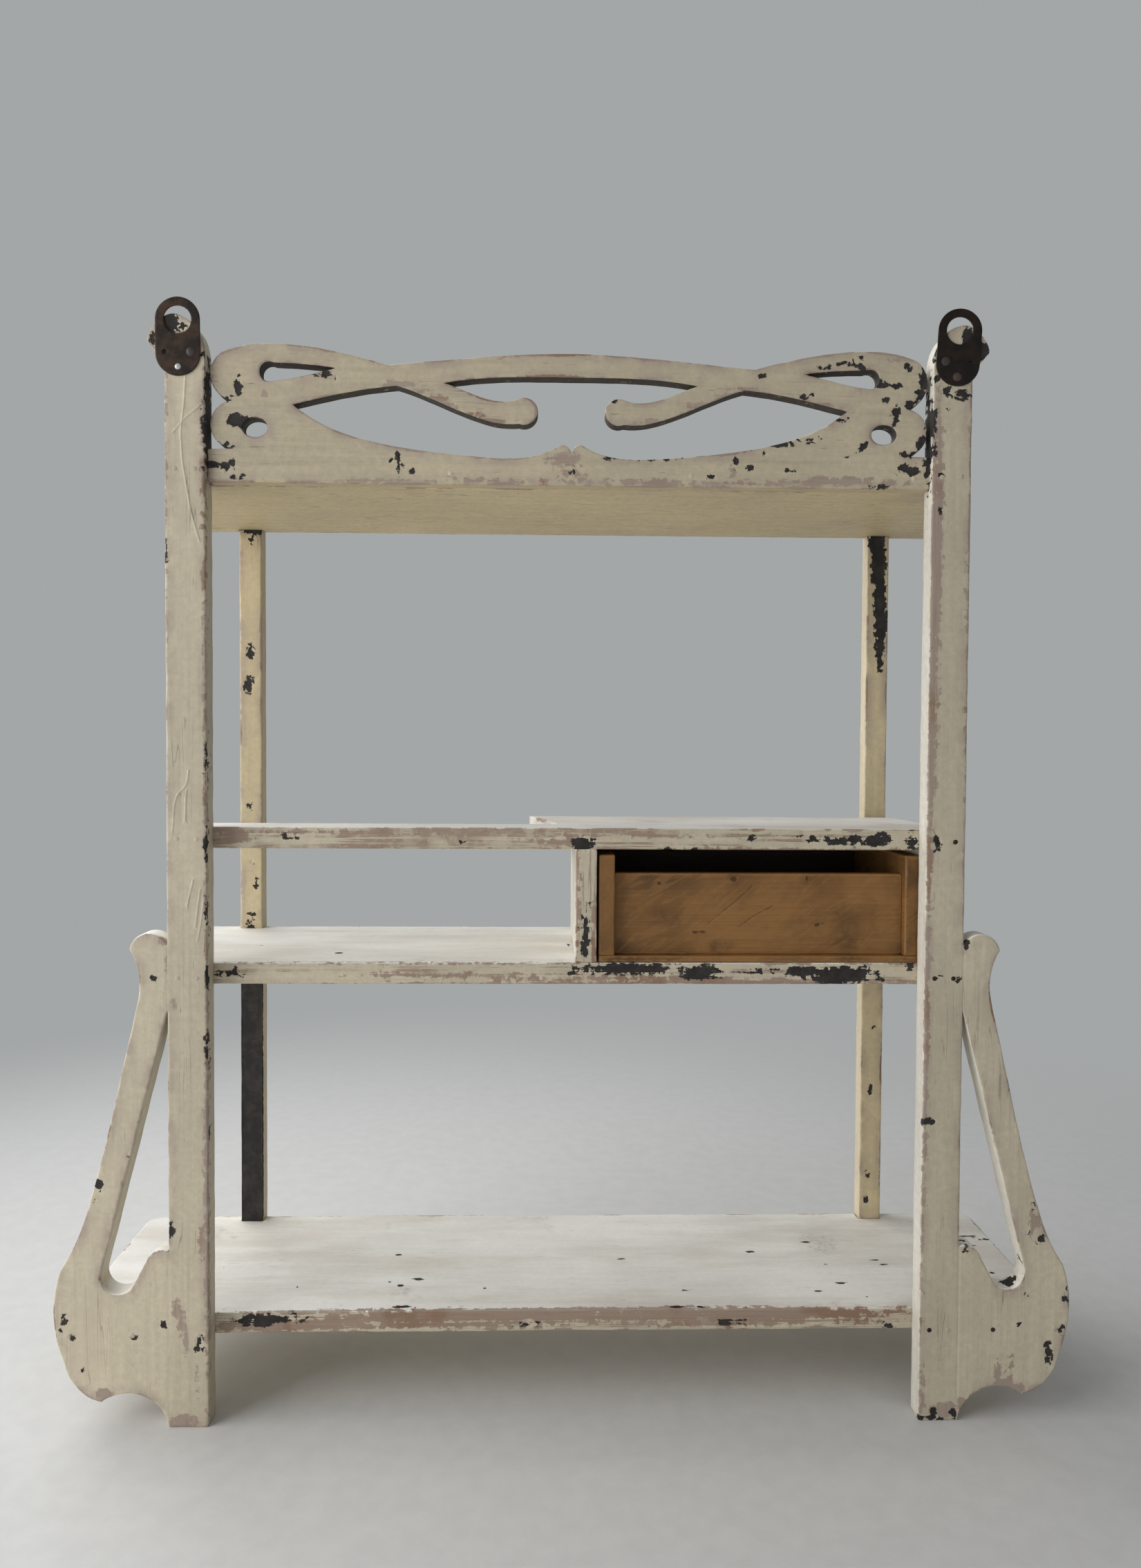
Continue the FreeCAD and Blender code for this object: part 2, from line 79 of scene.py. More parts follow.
# Chips down to the black layer on the wall side of each board: x, z, half width, half height in mm,
# and for a chip in a board's side also its half depth and how far its middle is set back. The two
# long chips in the posts' sides beside the crest also paint the shadow in the gap there.
CHIPS = {
    "crest": (
        (-250, -45, 2.5, 5.7), (-254, -71, 5.1, 5.0), (-248, -75, 3.6, 3.5), (-239, -74, 5.2, 2.0),
        (-268, -106, 5.2, 2.2), (-260, -107, 3.6, 3.1), (-255, -104, 2.1, 1.8),
        (-254, -114, 1.0, 1.0), (-248, -114, 1.2, 1.3), (-130, -99, 1.0, 7.2),
        (-136, -101, 1.3, 1.2), (-121, -108, 2.4, 1.8), (-186, -37, 4.1, 1.2),
        (-177, -39, 0.8, 1.6), (-259, -56, 4.1, 1.0), (-261, -90, 5.2, 1.0), (145, -34, 2.4, 1.2),
        (189, -27, 2.7, 1.2), (196, -26, 1.1, 1.1), (211, -24, 6.3, 1.5), (220, -20, 2.2, 1.0),
        (222, -29, 2.1, 2.3), (229, -35, 3.8, 2.1), (236, -39, 3.2, 1.8), (256, -26, 2.2, 2.8),
        (247, -40, 3.0, 1.6), (240, -51, 1.4, 0.8), (270, -35, 4.9, 8.8), (267, -47, 4.3, 3.6),
        (259, -53, 4.8, 2.0), (247, -62, 3.2, 6.5), (176, -49, 2.2, 1.5), (184, -47, 1.4, 0.8),
        (204, -66, 4.2, 1.6), (222, -85, 2.7, 2.9), (210, -94, 1.0, 0.5), (271, -82, 2.2, 7.8),
        (267, -83, 3.2, 4.2), (272, -103, 2.2, 7.8), (257, -91, 4.8, 1.2), (258, -104, 6.4, 2.6),
        (252, -102, 2.7, 3.1), (230, -116, 5.3, 1.0), (125, -98, 0.9, 2.5), (147, -92, 1.4, 1.5),
        (135, -103, 2.7, 0.8), (167, -105, 2.1, 1.2), (181, -81, 4.8, 1.5), (-247, -73, 7.5, 4.6),
        (160, -85, 5.3, 1.0), (107, -110, 3.7, 2.1), (32, -53, 2.7, 1.5), (0, -107, 1.6, 2.1),
        (57, -96.2, 16.0, 1.0),
    ),
    "right_post": (
        (284, -44, 2.7, 3.1), (296, -47, 6.9, 3.2), (284, -58, 1.1, 1.0), (295, -109, 1.1, 2.9),
        (280, -108, 1.1, 1.3), (282, -387, 2.8, 5.3), (295, -387, 2.2, 1.8), (283, -491, 2.7, 1.6),
        (299, -491, 1.3, 1.6), (279, -603, 5.4, 2.5), (285.8, -829.4, 2.3, 4.9),
        (302, -832.4, 3.6, 3.6), (281, -835, 7.6, 1.4), (304.6, -725.4, 0.7, 1.1),
        (281, -134, 0.8, 2.0), (300, -5, 4.6, 7.2), (311, -15, 4.2, 9.5), (274, -18, 2.0, 5.0),
        # The last chip blackens the post's side in the gap beside the crest: partly black layer,
        # partly painted shadow.
        (301.3, -24.3, 2.4, 2.4), (275.5, -36, 2.0, 3.0), (273.5, -78, 4.0, 37.0, 9.0, 9.6),
    ),
    "right_wing": (
        (305, -465, 1.7, 3.7), (384, -708.5, 1.6, 2.1), (357, -739, 1.0, 1.0),
        (384, -765.5, 1.7, 2.7), (374.7, -784.2, 2.9, 7.7), (367.5, -694.6, 3.0, 2.6),
        (360.4, -667, 0.8, 2.2), (356, -689, 0.8, 0.8), (352.8, -762, 1.2, 0.6),
        (387.4, -739, 0.8, 3.4), (347.5, -733, 6.3, 3.5, 5.0, 10.0),
        (308.7, -702.8, 3.5, 2.8, 6.0, 7.0), (353.4, -709.3, 1.5, 8.0, 2.5, 6.0),
    ),
    "left_post": (
        (-273, -612, 0.8, 2.4), (-281, -772, 2.3, 6.6), (-301, -685, 1.8, 5.3),
        (-292, -353, 0.8, 1.1), (-272, -397, 0.8, 1.6), (-299, -2, 5.6, 6.6), (-290, -5, 4.6, 2.6),
        (-311, -15, 2.6, 4.6), (-273, -27, 2.6, 3.0), (-302.4, -23.9, 2.4, 2.4),
        # The first chip blackens the post's side in the gap beside the crest: partly black layer,
        # partly painted shadow.
        (-273.5, -74, 4.0, 41.0, 9.0, 9.6), (-273.5, -387, 1.5, 9.0), (-273.5, -492, 1.6, 9.0),
        (-273.6, -440, 0.9, 7.0), (-273.6, -332, 0.8, 8.0), (-273.6, -545, 0.9, 9.0),
        (-303.2, -168, 0.9, 5.0),
    ),
    "left_wing": (
        (-314, -491, 2.0, 1.8), (-356, -649, 3.3, 4.2), (-358, -661, 1.0, 1.0),
        (-334, -627, 1.0, 2.1), (-316, -726, 1.6, 1.1), (-382, -752, 1.0, 1.9),
        (-385, -762, 1.3, 1.6), (-376, -767, 1.3, 1.0), (-330, -767, 1.6, 1.0),
        (-307, -757, 2.3, 2.4), (-369, -792, 1.0, 1.1),
    ),
    "half_shelf": (
        (11, -390, 8.1, 4.8), (143, -385, 4.1, 2.9), (192, -386, 8.1, 2.2), (209, -388, 10.9, 2.1),
        (223, -387, 8.2, 3.8), (241, -387, 9.8, 5.4), (269, -388, 3.9, 5.9), (82, -394, 10.8, 0.8),
        (-218, -386, 1.6, 1.3), (-209, -386, 1.3, 1.1), (-82, -388, 1.3, 1.6),
        (164, -383, 1.4, 0.8),
    ),
    "middle_shelf": (
        (47, -488, 36.0, 4.2), (104, -490, 15.0, 5.2), (183, -490, 12.0, 4.2),
        (212, -493, 22.0, 7.0), (229, -491, 6.6, 5.4), (242, -493, 2.8, 2.5), (248, -494, 1.5, 3.3),
        (151, -490, 10.8, 1.3), (2, -490, 2.4, 3.2), (267, -485, 3.8, 2.2), (-266, -492, 3.7, 1.6),
        (-258, -490, 2.1, 3.8), (-253, -493, 1.6, 2.7),
    ),
    "bottom_shelf": (
        (-232, -763, 21.5, 2.9), (-241, -765, 10.7, 2.3), (-213, -761, 5.4, 1.7),
        (131, -768, 8.2, 1.4), (-32, -768, 6.5, 1.4), (255, -771, 3.9, 2.2),
    ),
    "divider": (
        (13.6, -451, 3.0, 8.0), (13.0, -463, 3.4, 9.0), (12.8, -474, 3.2, 6.0),
        (16, -439, 2.6, 2.7),
    ),
    "front_post_left": (
        (-290, -371, 1.6, 2.6), (-289, -422, 1.6, 1.9), (-285, -441, 1.2, 2.5),
        (-287, -474, 1.6, 2.5), (-290, -230, 3.9, 7.2), (-291, -259, 3.9, 7.6),
        (-289, -118.6, 10.5, 2.4), (-287, -124, 2.2, 5.0), (-290, -540, 12.6, 60.0),
        (-290, -640, 12.8, 140.0), (-290, -720, 12.6, 60.0),
    ),
    "front_post_right": (
        (287, -738, 2.5, 4.2), (287, -716, 0.8, 1.5), (290, -577, 1.3, 1.9), (288, -634, 1.0, 2.7),
        (286, -118.5, 8.0, 1.8), (287.6, -126, 6.6, 14.0), (289.5, -142, 6.2, 32.0),
        (291.6, -170, 5.6, 36.0), (292.4, -200, 5.0, 32.0), (292.6, -226, 3.2, 14.0),
        (298, -188, 2.2, 3.0),
    ),
    "drawer_back": (
        (197.6, -455, 2.2, 1.2), (201.7, -454, 1.4, 0.8), (130.7, -418.5, 2.6, 2.0),
        (104, -460.6, 6.0, 0.9), (188.7, -417.8, 1.0, 2.0), (72, -422, 1.2, 0.8),
    ),
}

# Usual half depth of a chip or rub, and how far its rim spreads: a share of its size and mm more.
SPOT_DEPTH = 4.0
SPOT_SPREAD = 1.05
SPOT_RIM = 0.15

# Places on the wall side rubbed thin or to bare wood, in the same order.
SCUFFS = {
    "crest": (
        (-130, -43.6, 10.0, 1.8), (-117, -48.5, 9.0, 2.2), (-103, -54.0, 8.0, 2.6),
        (-89, -59.6, 8.0, 2.6), (-74, -65.4, 8.0, 2.4), (-58, -70.2, 9.0, 1.8),
        (135, -43.4, 13.0, 2.0), (117, -48.8, 9.0, 2.0), (99, -56.0, 9.0, 2.2),
        (60, -70.0, 10.0, 1.6), (-165, -115, 28.6, 1.2), (-231, -51, 3.6, 4.1),
        (-270, -40, 2.0, 3.6), (-4, -98, 15.0, 5.0), (0, -108, 10.0, 2.6), (75, -115, 55.0, 2.0),
        (160, -114.5, 60.0, 2.4), (197, -113, 45.1, 3.1), (123, -106, 2.2, 3.6),
        (195, -56, 13.2, 2.4), (245, -20, 4.2, 1.5), (-49, -22, 10.4, 1.1), (-66, -114, 31.3, 1.0),
    ),
    "left_wing": ((-352, -810, 5.8, 3.8), (-303, -479, 2.1, 4.7), (-306, -463, 2.6, 3.1)),
    "left_post": (
        (-297, -746, 3.0, 7.0), (-293.5, -757, 3.6, 8.5), (-290, -770, 3.0, 9.0),
        (-282, -797, 1.6, 13.0), (-278, -695, 4.0, 11.0), (-299, -512, 2.3, 4.2),
        (-292, -832, 14.0, 5.2), (-274.4, -230, 1.4, 190.0), (-274.2, -620, 1.6, 180.0),
        (-303, -110, 2.0, 90.0),
    ),
    "right_post": (
        (275.6, -813, 2.4, 21.0, 0.9, 0.0), (293, -829, 12.0, 6.5),
        (277.6, -170, 5.2, 150.0, 0.9, 0.0), (276.0, -330, 3.6, 140.0, 0.9, 0.0),
        (275.0, -560, 2.4, 160.0, 0.9, 0.0), (303, -150, 1.4, 140.0),
    ),
    "right_wing": (
        (317, -819, 5.5, 4.0), (339, -808.5, 7.5, 4.6), (351.6, -812, 5.8, 3.8),
        (336, -800, 2.9, 8.4), (345.6, -797, 1.4, 9.7), (362, -682, 4.0, 10.8),
        (307, -824, 4.0, 6.0),
    ),
    "half_shelf": (
        (-150, -381.5, 120.0, 1.6), (-258, -386, 14.0, 5.0), (-8, -390, 20.0, 4.0),
        (-120, -396.5, 150.0, 1.2), (90, -395.5, 150.0, 1.8), (70, -384, 60.0, 1.6),
    ),
    "middle_shelf": (
        (-140, -482.5, 130.0, 2.2), (-90, -493, 60.0, 2.2), (110, -498, 160.0, 2.8),
        (60, -494, 60.0, 2.4),
    ),
    "bottom_shelf": (
        (-60, -761, 150.0, 5.6), (-90, -768, 110.0, 2.8), (150, -761.5, 130.0, 5.8),
        (130, -768.5, 110.0, 3.0), (-210, -768, 70.0, 4.0), (-120, -757, 160.0, 2.6),
        (60, -757, 220.0, 2.8),
    ),
    "divider": ((8, -440, 2.0, 34.0), (19.2, -444, 3.4, 8.0), (19, -465, 2.0, 20.0)),
}

# Dark specks on the upper faces of shelves: x, y, half width and half length in mm.
SPECKS = {
    "middle_shelf": (
        (-185, 60, 3.4, 3.0), (-257, 94, 2.9, 0.9), (-272, 72, 0.9, 0.9), (2, 97, 1.0, 5.0),
    ),
    "bottom_shelf": (
        (-289, 93, 1.0, 1.6), (-219, 58, 1.1, 1.5), (-144, 114, 2.0, 1.2), (-135, 59, 2.4, 1.8),
        (-122, 70, 4.1, 1.5), (-145, 66, 1.3, 1.2), (-128, 25, 7.8, 2.0), (-66, 54, 1.3, 1.5),
        (49, 104, 3.1, 1.0), (88, 22, 4.3, 1.4), (106, 22, 3.2, 1.4), (97, 49, 4.5, 1.0),
        (163, 116, 4.3, 1.4), (217, 134, 3.2, 1.4), (224, 92, 2.6, 1.0), (270, 99, 5.4, 1.3),
        (274, 91, 4.6, 1.8), (229, 59, 3.4, 1.2), (207, 46, 3.6, 1.1), (243, 36, 1.0, 1.2),
        (361, 75, 2.2, 1.4), (386, 127, 1.3, 1.6), (367, 145, 9.7, 1.2), (380, 138, 5.0, 1.0),
        (362, 126, 5.0, 1.0),
    ),
}
SPECK_DEEPENING = 2.5

# Boards whose sawn walls were left black, the largest size of an opening that is black all round,
# and the height of the foot that was not, in mm.
BLACK_WALLED = ("crest",)
SMALL_OPENING = 62.0
BARE_FOOT = 8.0

# Rubbing reaches less far round onto the sides of upright boards.
SIDE_WEAR = 1.8

# Raised ridges of old paint, and scratches in bare wood, on the wall side: lines of x, z in mm.
RIDGES = {
    "left_post": (
        (
            (-287.6, -41.3), (-288.9, -61.8), (-291.5, -82.4), (-290.3, -103.0), (-287.1, -123.6),
            (-283.9, -142.1), (-279.8, -156.5), (-277.6, -164.0),
        ),
        ((-296.8, -82.5), (-287.7, -71.7), (-279.4, -65.0), (-276.8, -62.6)),
        (
            (-286.7, -334.5), (-287.3, -341.8), (-289.3, -347.8), (-293.7, -350.7),
            (-296.2, -355.2), (-297.7, -362.5), (-298.1, -371.4), (-298.9, -380.3),
        ),
        ((-288.2, -349.2), (-288.9, -358.1), (-289.3, -365.5), (-289.4, -372.8)),
        ((-283.7, -417.2), (-285.2, -424.6), (-287.2, -432.0), (-288.2, -438.0)),
        ((-278.3, -424.6), (-279.8, -435.0), (-280.9, -443.9), (-282.0, -452.8)),
        ((-275.7, -432.0), (-276.9, -442.4), (-278.3, -452.8), (-280.6, -463.2)),
    ),
    "drawer_back": (
        ((110.6, -454.3), (122.8, -443.9), (135.0, -433.5), (145.0, -424.2)),
        ((135.2, -456.2), (147.4, -447.1), (161.6, -440.0)),
    ),
}

# How far a ridge reaches to each side, the step of the points along it and its rows of points, in
# mm, and the power by which it steepens towards its crest.
RIDGE_REACH = 2.4
RIDGE_STEP = 1.2
RIDGE_ROWS = (-1.6, -0.8, 0.0, 0.8, 1.6)
RIDGE_POWER = 4

# Height of a ridge, or depth of a scratch, and depth of a chip, in mm. A chip reaches its depth at
# CHIP_SLOPE mm inside its rim.
RIDGE_RISE = {"left_post": 0.35, "drawer_back": -0.25}
CHIP_SINK = 0.3
CHIP_SLOPE = 0.8

# Boards glued edge to edge. Paint runs on over the joint, so the edge is hardly rounded there: the
# gap that counts as touching and the radius, in mm.
GLUED = {
    "left_post": "left_wing",
    "left_wing": "left_post",
    "right_post": "right_wing",
    "right_wing": "right_post",
}
SEAM_GAP = 0.06
SEAM_RADIUS = 0.02

# A distance in mm that stands for far away, and how near to a face a point counts as on it.
FAR = 50.0
ON_FACE = 0.01

# Points compared at a time with all runs of an outline.
BATCH = 2000

# Outward turns of an outline that get softened, turns that wear, and edges that shade as sharp.
SOFT_TURN = math.radians(25)
WORN_TURN = math.radians(12)
SHARP_TURN = math.radians(38)

# Rings over the rounded edge in degrees, and down to the middle of the wall as shares.
EDGE_ANGLES = (0, 30, 60, 90)
WALL_SHARES = (0.12, 0.32, 0.6, 1.0)

# Waves by which the edge's radius wanders: number, lowest and highest rate per mm, largest phase.
WAVES = 9
WAVE_RATES = (0.01, 0.35)
WAVE_PHASE = 6.3

# Rows of face points along an outline: distance in mm, and one point kept out of how many.
EDGE_ROWS = ((1.4, 1), (3.2, 2), (6.0, 2))

# Places of points over a spot as shares of its radii, and the room in mm that the points of spots
# and ridges keep to a rounded edge.
SPOT_GRID = np.linspace(-1.3, 1.3, 9)
RIM_ROOM = 0.4

# Turned knob from its foot to its crown, as shares of its radius and length.
KNOB_PROFILE = (
    (0.6, 0.0), (0.45, 0.13), (0.42, 0.26), (0.6, 0.38), (0.86, 0.48), (1.0, 0.64), (0.94, 0.82),
    (0.68, 0.95), (0.34, 1.0), (0.12, 1.0),
)
KNOB_ROUNDINGS = 3
KNOB_PARTS = 64

# Nails in the hanger plates: piece, how far its head is greyed as a painted highlight, its share of
# the usual radius, and x, z in mm.
PLATE_NAILS = (
    ("hanger_nails_dark", 0.12, 1.0, ((-283.25, -23.7), (282.11, -23.19), (291.04, -34.74))),
    ("hanger_nail_painted_highlight", 0.8, 0.68, ((-292.74, -34.8),)),
)
NAIL_PARTS = 18

# Profiles of nail heads: shares of the radius, with heights in mm for the flat head and as shares
# of the dome for the domed one, and the height in mm of the domed head's foot.
FLAT_HEAD = ((0.35, -0.28), (0.8, -0.24), (1.0, -0.08), (1.0, 0.6))
DOMED_HEAD = ((0.3, -1.0), (0.7, -0.75), (1.0, -0.2))
DOMED_FOOT = 0.3

# Places of the nails in mm: in the post from its edges, in the wing from the post, in the crest's
# band above its foot and from its ends, and in the drawer side from the front.
POST_WIDTH = 30.0
NAIL_INSET = 7.7
WING_NAILS = (27.5, 76.0)
CREST_NAIL_RISE = 8.2
CREST_NAIL_INSET = 12.0
TONGUE_NAIL_INSET = 3.5

# Shelf nails whose paint is gone, as x, z in mm; the others are painted over.
RUSTY_NAILS = ((281, -387), (296, -387), (281, -490), (296, -490), (281, -765), (331, -765))
RUSTY_REACH = 8.0

# Faces of the drawer's front that lie further than this behind its lap, in metres, are bare wood.
LAP_ROOM = 0.0002

# Soft lamps: name, place, the point it looks at, width and height in metres, and power in watts.
LAMPS = (
    ("window_light", (-2.05, -0.90, 0.12), (-0.1, 0.08, -0.48), (1.8, 2.25), 49.5),
    ("floor_fill", (-0.6, -1.7, -0.50), (0.1, 0.0, -0.70), (1.4, 0.5), 3.0),
    ("front_fill", (1.3, -2.5, 0.1), (0.1, 0.08, -0.60), (2.4, 2.2), 4.6),
    ("room_fill", (-1.4, 0.9, 1.0), (-0.1, 0.08, -0.45), (2.0, 2.0), 34.0),
)
WORLD_STRENGTH = 0.28

# Radii of the floor's rings and the distances between which it fades into the backdrop, in metres.
FLOOR_RINGS = (8.0, 4.0, 2.0, 1.0, 0.5, 0.01)
FLOOR_PARTS = 96
FLOOR_FADE = (0.45, 1.5)

SENSOR_HEIGHT = 36.0


def length_property(name, description, default):
    """Property that holds a length in metres."""
    return FloatProperty(name=name, description=description, default=default, unit="LENGTH")


def angle_property(name, description, degrees):
    """Property that holds an angle."""
    return FloatProperty(
        name=name, description=description, default=math.radians(degrees), unit="ROTATION"
    )


def colour_property(name, description, default):
    """Property that holds a colour."""
    return FloatVectorProperty(
        name=name, description=description, default=default, subtype="COLOR"
    )


class ShelfSizes(bpy.types.PropertyGroup):
    """Sizes of the finishing touches."""

    edge_round: length_property("Edge rounding", "Mean rounding of the worn board edges", 0.0012)
    corner_round: length_property(
        "Corner rounding", "Rounding of the upright corners of a board", 0.0017
    )
    crest_round: length_property(
        "Crest rounding", "Mean rounding of the crest's sawn edges", 0.0008
    )
    drawer_round: length_property(
        "Drawer rounding", "Mean rounding of the drawer's back and bottom", 0.0008
    )
    iron_round: length_property("Iron rounding", "Rounding of the hanger plates' edges", 0.0004)
    outline_step: length_property("Outline step", "Longest step along a board's outline", 0.003)
    face_step: length_property("Face step", "Distance of the points on a board's faces", 0.006)
    nail_radius: length_property("Nail head radius", "Radius of a flat nail head", 0.0018)
    plate_nail_radius: length_property(
        "Plate nail radius", "Radius of a hanger nail's domed head", 0.0033
    )
    plate_nail_dome: length_property(
        "Plate nail dome", "Height of a hanger nail's domed head", 0.0008
    )


class ShelfColours(bpy.types.PropertyGroup):
    """Colours of paint, wood, iron and stage."""

    cream: colour_property("Cream", "Cream paint on upright faces", (0.51, 0.450, 0.332))
    # Paler paint on faces that look up or to the left: painted light from above and from the left.
    painted_light_pale: colour_property("Painted light", "Paint on upper faces", (0.82, 0.81, 0.765))
    yellowed: colour_property(
        "Yellowed", "Paint on undersides and front posts", (0.62, 0.49, 0.265)
    )
    grime: colour_property("Grime", "Grey green grime in the brush strokes", (0.33, 0.305, 0.235))
    black_layer: colour_property(
        "Black layer", "Old black finish under the paint", (0.014, 0.012, 0.011)
    )
    tea_stain: colour_property("Tea stain", "Brown stain on upper faces", (0.50, 0.43, 0.335))
    mauve: colour_property(
        "Thin paint", "Mauve grey where the paint is rubbed thin", (0.335, 0.268, 0.222)
    )
    raw_brown: colour_property(
        "Raw brown", "Brown wood where the paint is gone", (0.23, 0.135, 0.085)
    )
    drawer_wood: colour_property("Drawer wood", "Bare wood of the drawer", (0.176, 0.084, 0.024))
    iron: colour_property("Iron", "Dark iron of hangers and nails", (0.022, 0.016, 0.013))
    rust: colour_property("Rust", "Rust on the iron", (0.056, 0.033, 0.021))
    floor: colour_property("Floor", "Plain pale floor", (0.62, 0.62, 0.61))
    backdrop: colour_property("Backdrop", "Pale grey behind the shelf", (0.37, 0.385, 0.385))
    world_light: colour_property("World light", "Even light all round", (0.95, 0.97, 1.0))


class ShelfCamera(bpy.types.PropertyGroup):
    """Place and direction of the camera."""

    place: FloatVectorProperty(
        name="Place",
        description="Camera position",
        default=(-0.0188, -0.8252, -0.3196),
        subtype="TRANSLATION",
    )
    yaw: angle_property("Yaw", "Turn to the right", 1.348)
    pitch: angle_property("Pitch", "Tilt upwards", -1.657)
    roll: angle_property("Roll", "Turn about the line of sight", 0.313)
    lens: FloatProperty(
        name="Lens",
        description="Focal length in millimetres for a 36 mm high sensor",
        default=25.016,
        unit="CAMERA",
    )


def box_mm(name):
    """Low and high corner of a CAD node's box in millimetres."""
    return [np.array(corner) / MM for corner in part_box(name)]


def node_corners(name):
    """Corners of a CAD node's triangles in millimetres, as an array of triangle, corner, axis."""
    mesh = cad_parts[name].data
    mesh.calc_loop_triangles()
    places = np.empty(len(mesh.vertices) * 3)
    mesh.vertices.foreach_get("co", places)
    corners = np.empty(len(mesh.loop_triangles) * 3, dtype=np.int32)
    mesh.loop_triangles.foreach_get("vertices", corners)
    return places.reshape(-1, 3)[corners].reshape(-1, 3, 3) / MM


def cap_loops(name, axis):
    """Closed outlines of a board's face that looks along the axis; wood lies to the left of each.

    Edges of the face's triangles that no other triangle runs back along are its outline. Each point
    learns its loop and its steps to the loop's first point by jumps that double in length.
    """
    across = [(axis + 1) % 3, (axis + 2) % 3]
    corners = node_corners(name)
    normal = np.cross(corners[:, 1] - corners[:, 0], corners[:, 2] - corners[:, 0])
    facing = normal[:, axis] > 0.999 * np.linalg.norm(normal, axis=1)
    facing &= corners[:, :, axis].min(axis=1) > corners[:, :, axis].max() - ON_FACE
    flat = corners[facing][:, :, across].reshape(-1, 2)
    keys, ids = np.unique(np.round(flat, 3), axis=0, return_inverse=True)
    ids = ids.reshape(-1, 3)
    edges = np.concatenate([ids[:, [0, 1]], ids[:, [1, 2]], ids[:, [2, 0]]])
    forth = edges[:, 0] * len(keys) + edges[:, 1]
    back = edges[:, 1] * len(keys) + edges[:, 0]
    rim = edges[~np.isin(forth, back)]
    following = np.arange(len(keys))
    following[rim[:, 0]] = rim[:, 1]
    loop_of, jump = np.arange(len(keys)), following
    doublings = range(len(keys).bit_length())
    for _ in doublings:
        loop_of, jump = np.minimum(loop_of, loop_of[jump]), jump[jump]
    first = loop_of == np.arange(len(keys))
    jump = np.where(first, np.arange(len(keys)), following)
    steps = np.where(first, 0, 1)
    for _ in doublings:
        steps, jump = steps + steps[jump], jump[jump]
    loops = []
    for mark in np.unique(loop_of[rim[:, 0]]):
        members = np.flatnonzero(loop_of == mark)
        loops.append(keys[members[np.argsort(-steps[members])]])
    return sorted(loops, key=lambda loop: -np.ptp(loop, axis=0).sum())


def turn_between(before, after):
    """Angle from each run to the next, above zero for a turn to the left."""
    cross = before[:, 0] * after[:, 1] - before[:, 1] * after[:, 0]
    return np.arctan2(cross, (before * after).sum(axis=1))


def softened(loop, reach):
    """Outline with each outward corner p replaced by a short curve from a to b, reach away from it.

    The curve is (1 - t)^2 a + 2 t (1 - t) p + t^2 b for t from 0 to 1.
    """
    before = loop - np.roll(loop, 1, axis=0)
    after = np.roll(loop, -1, axis=0) - loop
    run_in = np.linalg.norm(before, axis=1)
    run_out = np.linalg.norm(after, axis=1)
    most = np.minimum(reach, 0.3 * np.minimum(run_in, run_out))
    cut = np.where(turn_between(before, after) > SOFT_TURN, most, 0.0)
    start = loop - before * (cut / run_in)[:, None]
    end = loop + after * (cut / run_out)[:, None]
    t = np.linspace(0, 1, 5)[None, :, None]
    bend = (1 - t) ** 2 * start[:, None] + 2 * t * (1 - t) * loop[:, None] + t**2 * end[:, None]
    kept = np.ones(bend.shape[:2], dtype=bool)
    kept[cut == 0, 1:] = False
    return bend[kept]


def divided(loop, step):
    """Outline with every run split into equal parts no longer than step."""
    run = np.roll(loop, -1, axis=0) - loop
    parts = np.maximum(1, np.ceil(np.linalg.norm(run, axis=1) / step)).astype(int)
    source = np.repeat(np.arange(len(loop)), parts)
    share = (np.arange(parts.sum()) - np.repeat(np.cumsum(parts) - parts, parts)) / parts[source]
    return loop[source] + share[:, None] * run[source]


def divided_line(line, step):
    """Open line with equal steps between its points, smoothed by a short running mean."""
    length = np.linalg.norm(np.diff(line, axis=0), axis=1)
    run = np.concatenate([[0.0], np.cumsum(length)])
    along = np.linspace(0, run[-1], max(3, int(run[-1] / step)))
    even = np.column_stack([np.interp(along, run, line[:, k]) for k in (0, 1)])
    for _ in range(6):
        even[1:-1] = (even[:-2] + 2 * even[1:-1] + even[2:]) / 4
    return even


def distance_to(points, start, end):
    """Distance of each point to the nearest of the runs from start to end."""
    run = end - start
    square = np.maximum((run * run).sum(axis=1), 1e-12)
    nearest = np.empty(len(points))
    for first in range(0, len(points), BATCH):
        away = points[first:first + BATCH, None] - start[None]
        share = np.clip((away * run[None]).sum(axis=2) / square, 0, 1)
        gap = away - share[:, :, None] * run[None]
        nearest[first:first + BATCH] = np.sqrt((gap * gap).sum(axis=2).min(axis=1))
    return nearest


def inside(points, start, end):
    """Whether each point is within the closed runs: a line to its right crosses an odd number."""
    odd = np.empty(len(points), dtype=bool)
    rise = np.where(end[:, 1] == start[:, 1], 1.0, end[:, 1] - start[:, 1])
    for first in range(0, len(points), BATCH):
        x, y = points[first:first + BATCH].T[:, :, None]
        spans = (start[:, 1] > y) != (end[:, 1] > y)
        meets = start[:, 0] + (y - start[:, 1]) * (end[:, 0] - start[:, 0]) / rise
        odd[first:first + BATCH] = (spans & (x < meets)).sum(axis=1) % 2 == 1
    return odd


def flat_grid(first, second):
    """Points of a flat grid from its places along two axes."""
    return np.stack(np.meshgrid(first, second), axis=-1).reshape(-1, 2)


def spot_depth(points, centres, radii, least):
    """How deep each point lies in the nearest oval spot, in mm and below zero outside.

    It is (1 - |(p - c) / r|) * least, the largest over all spots.
    """
    if len(centres) == 0:
        return np.full(len(points), -FAR)
    away = np.linalg.norm((points[:, None] - centres[None]) / radii[None], axis=2)
    return ((1 - away) * least).max(axis=1).clip(-FAR)


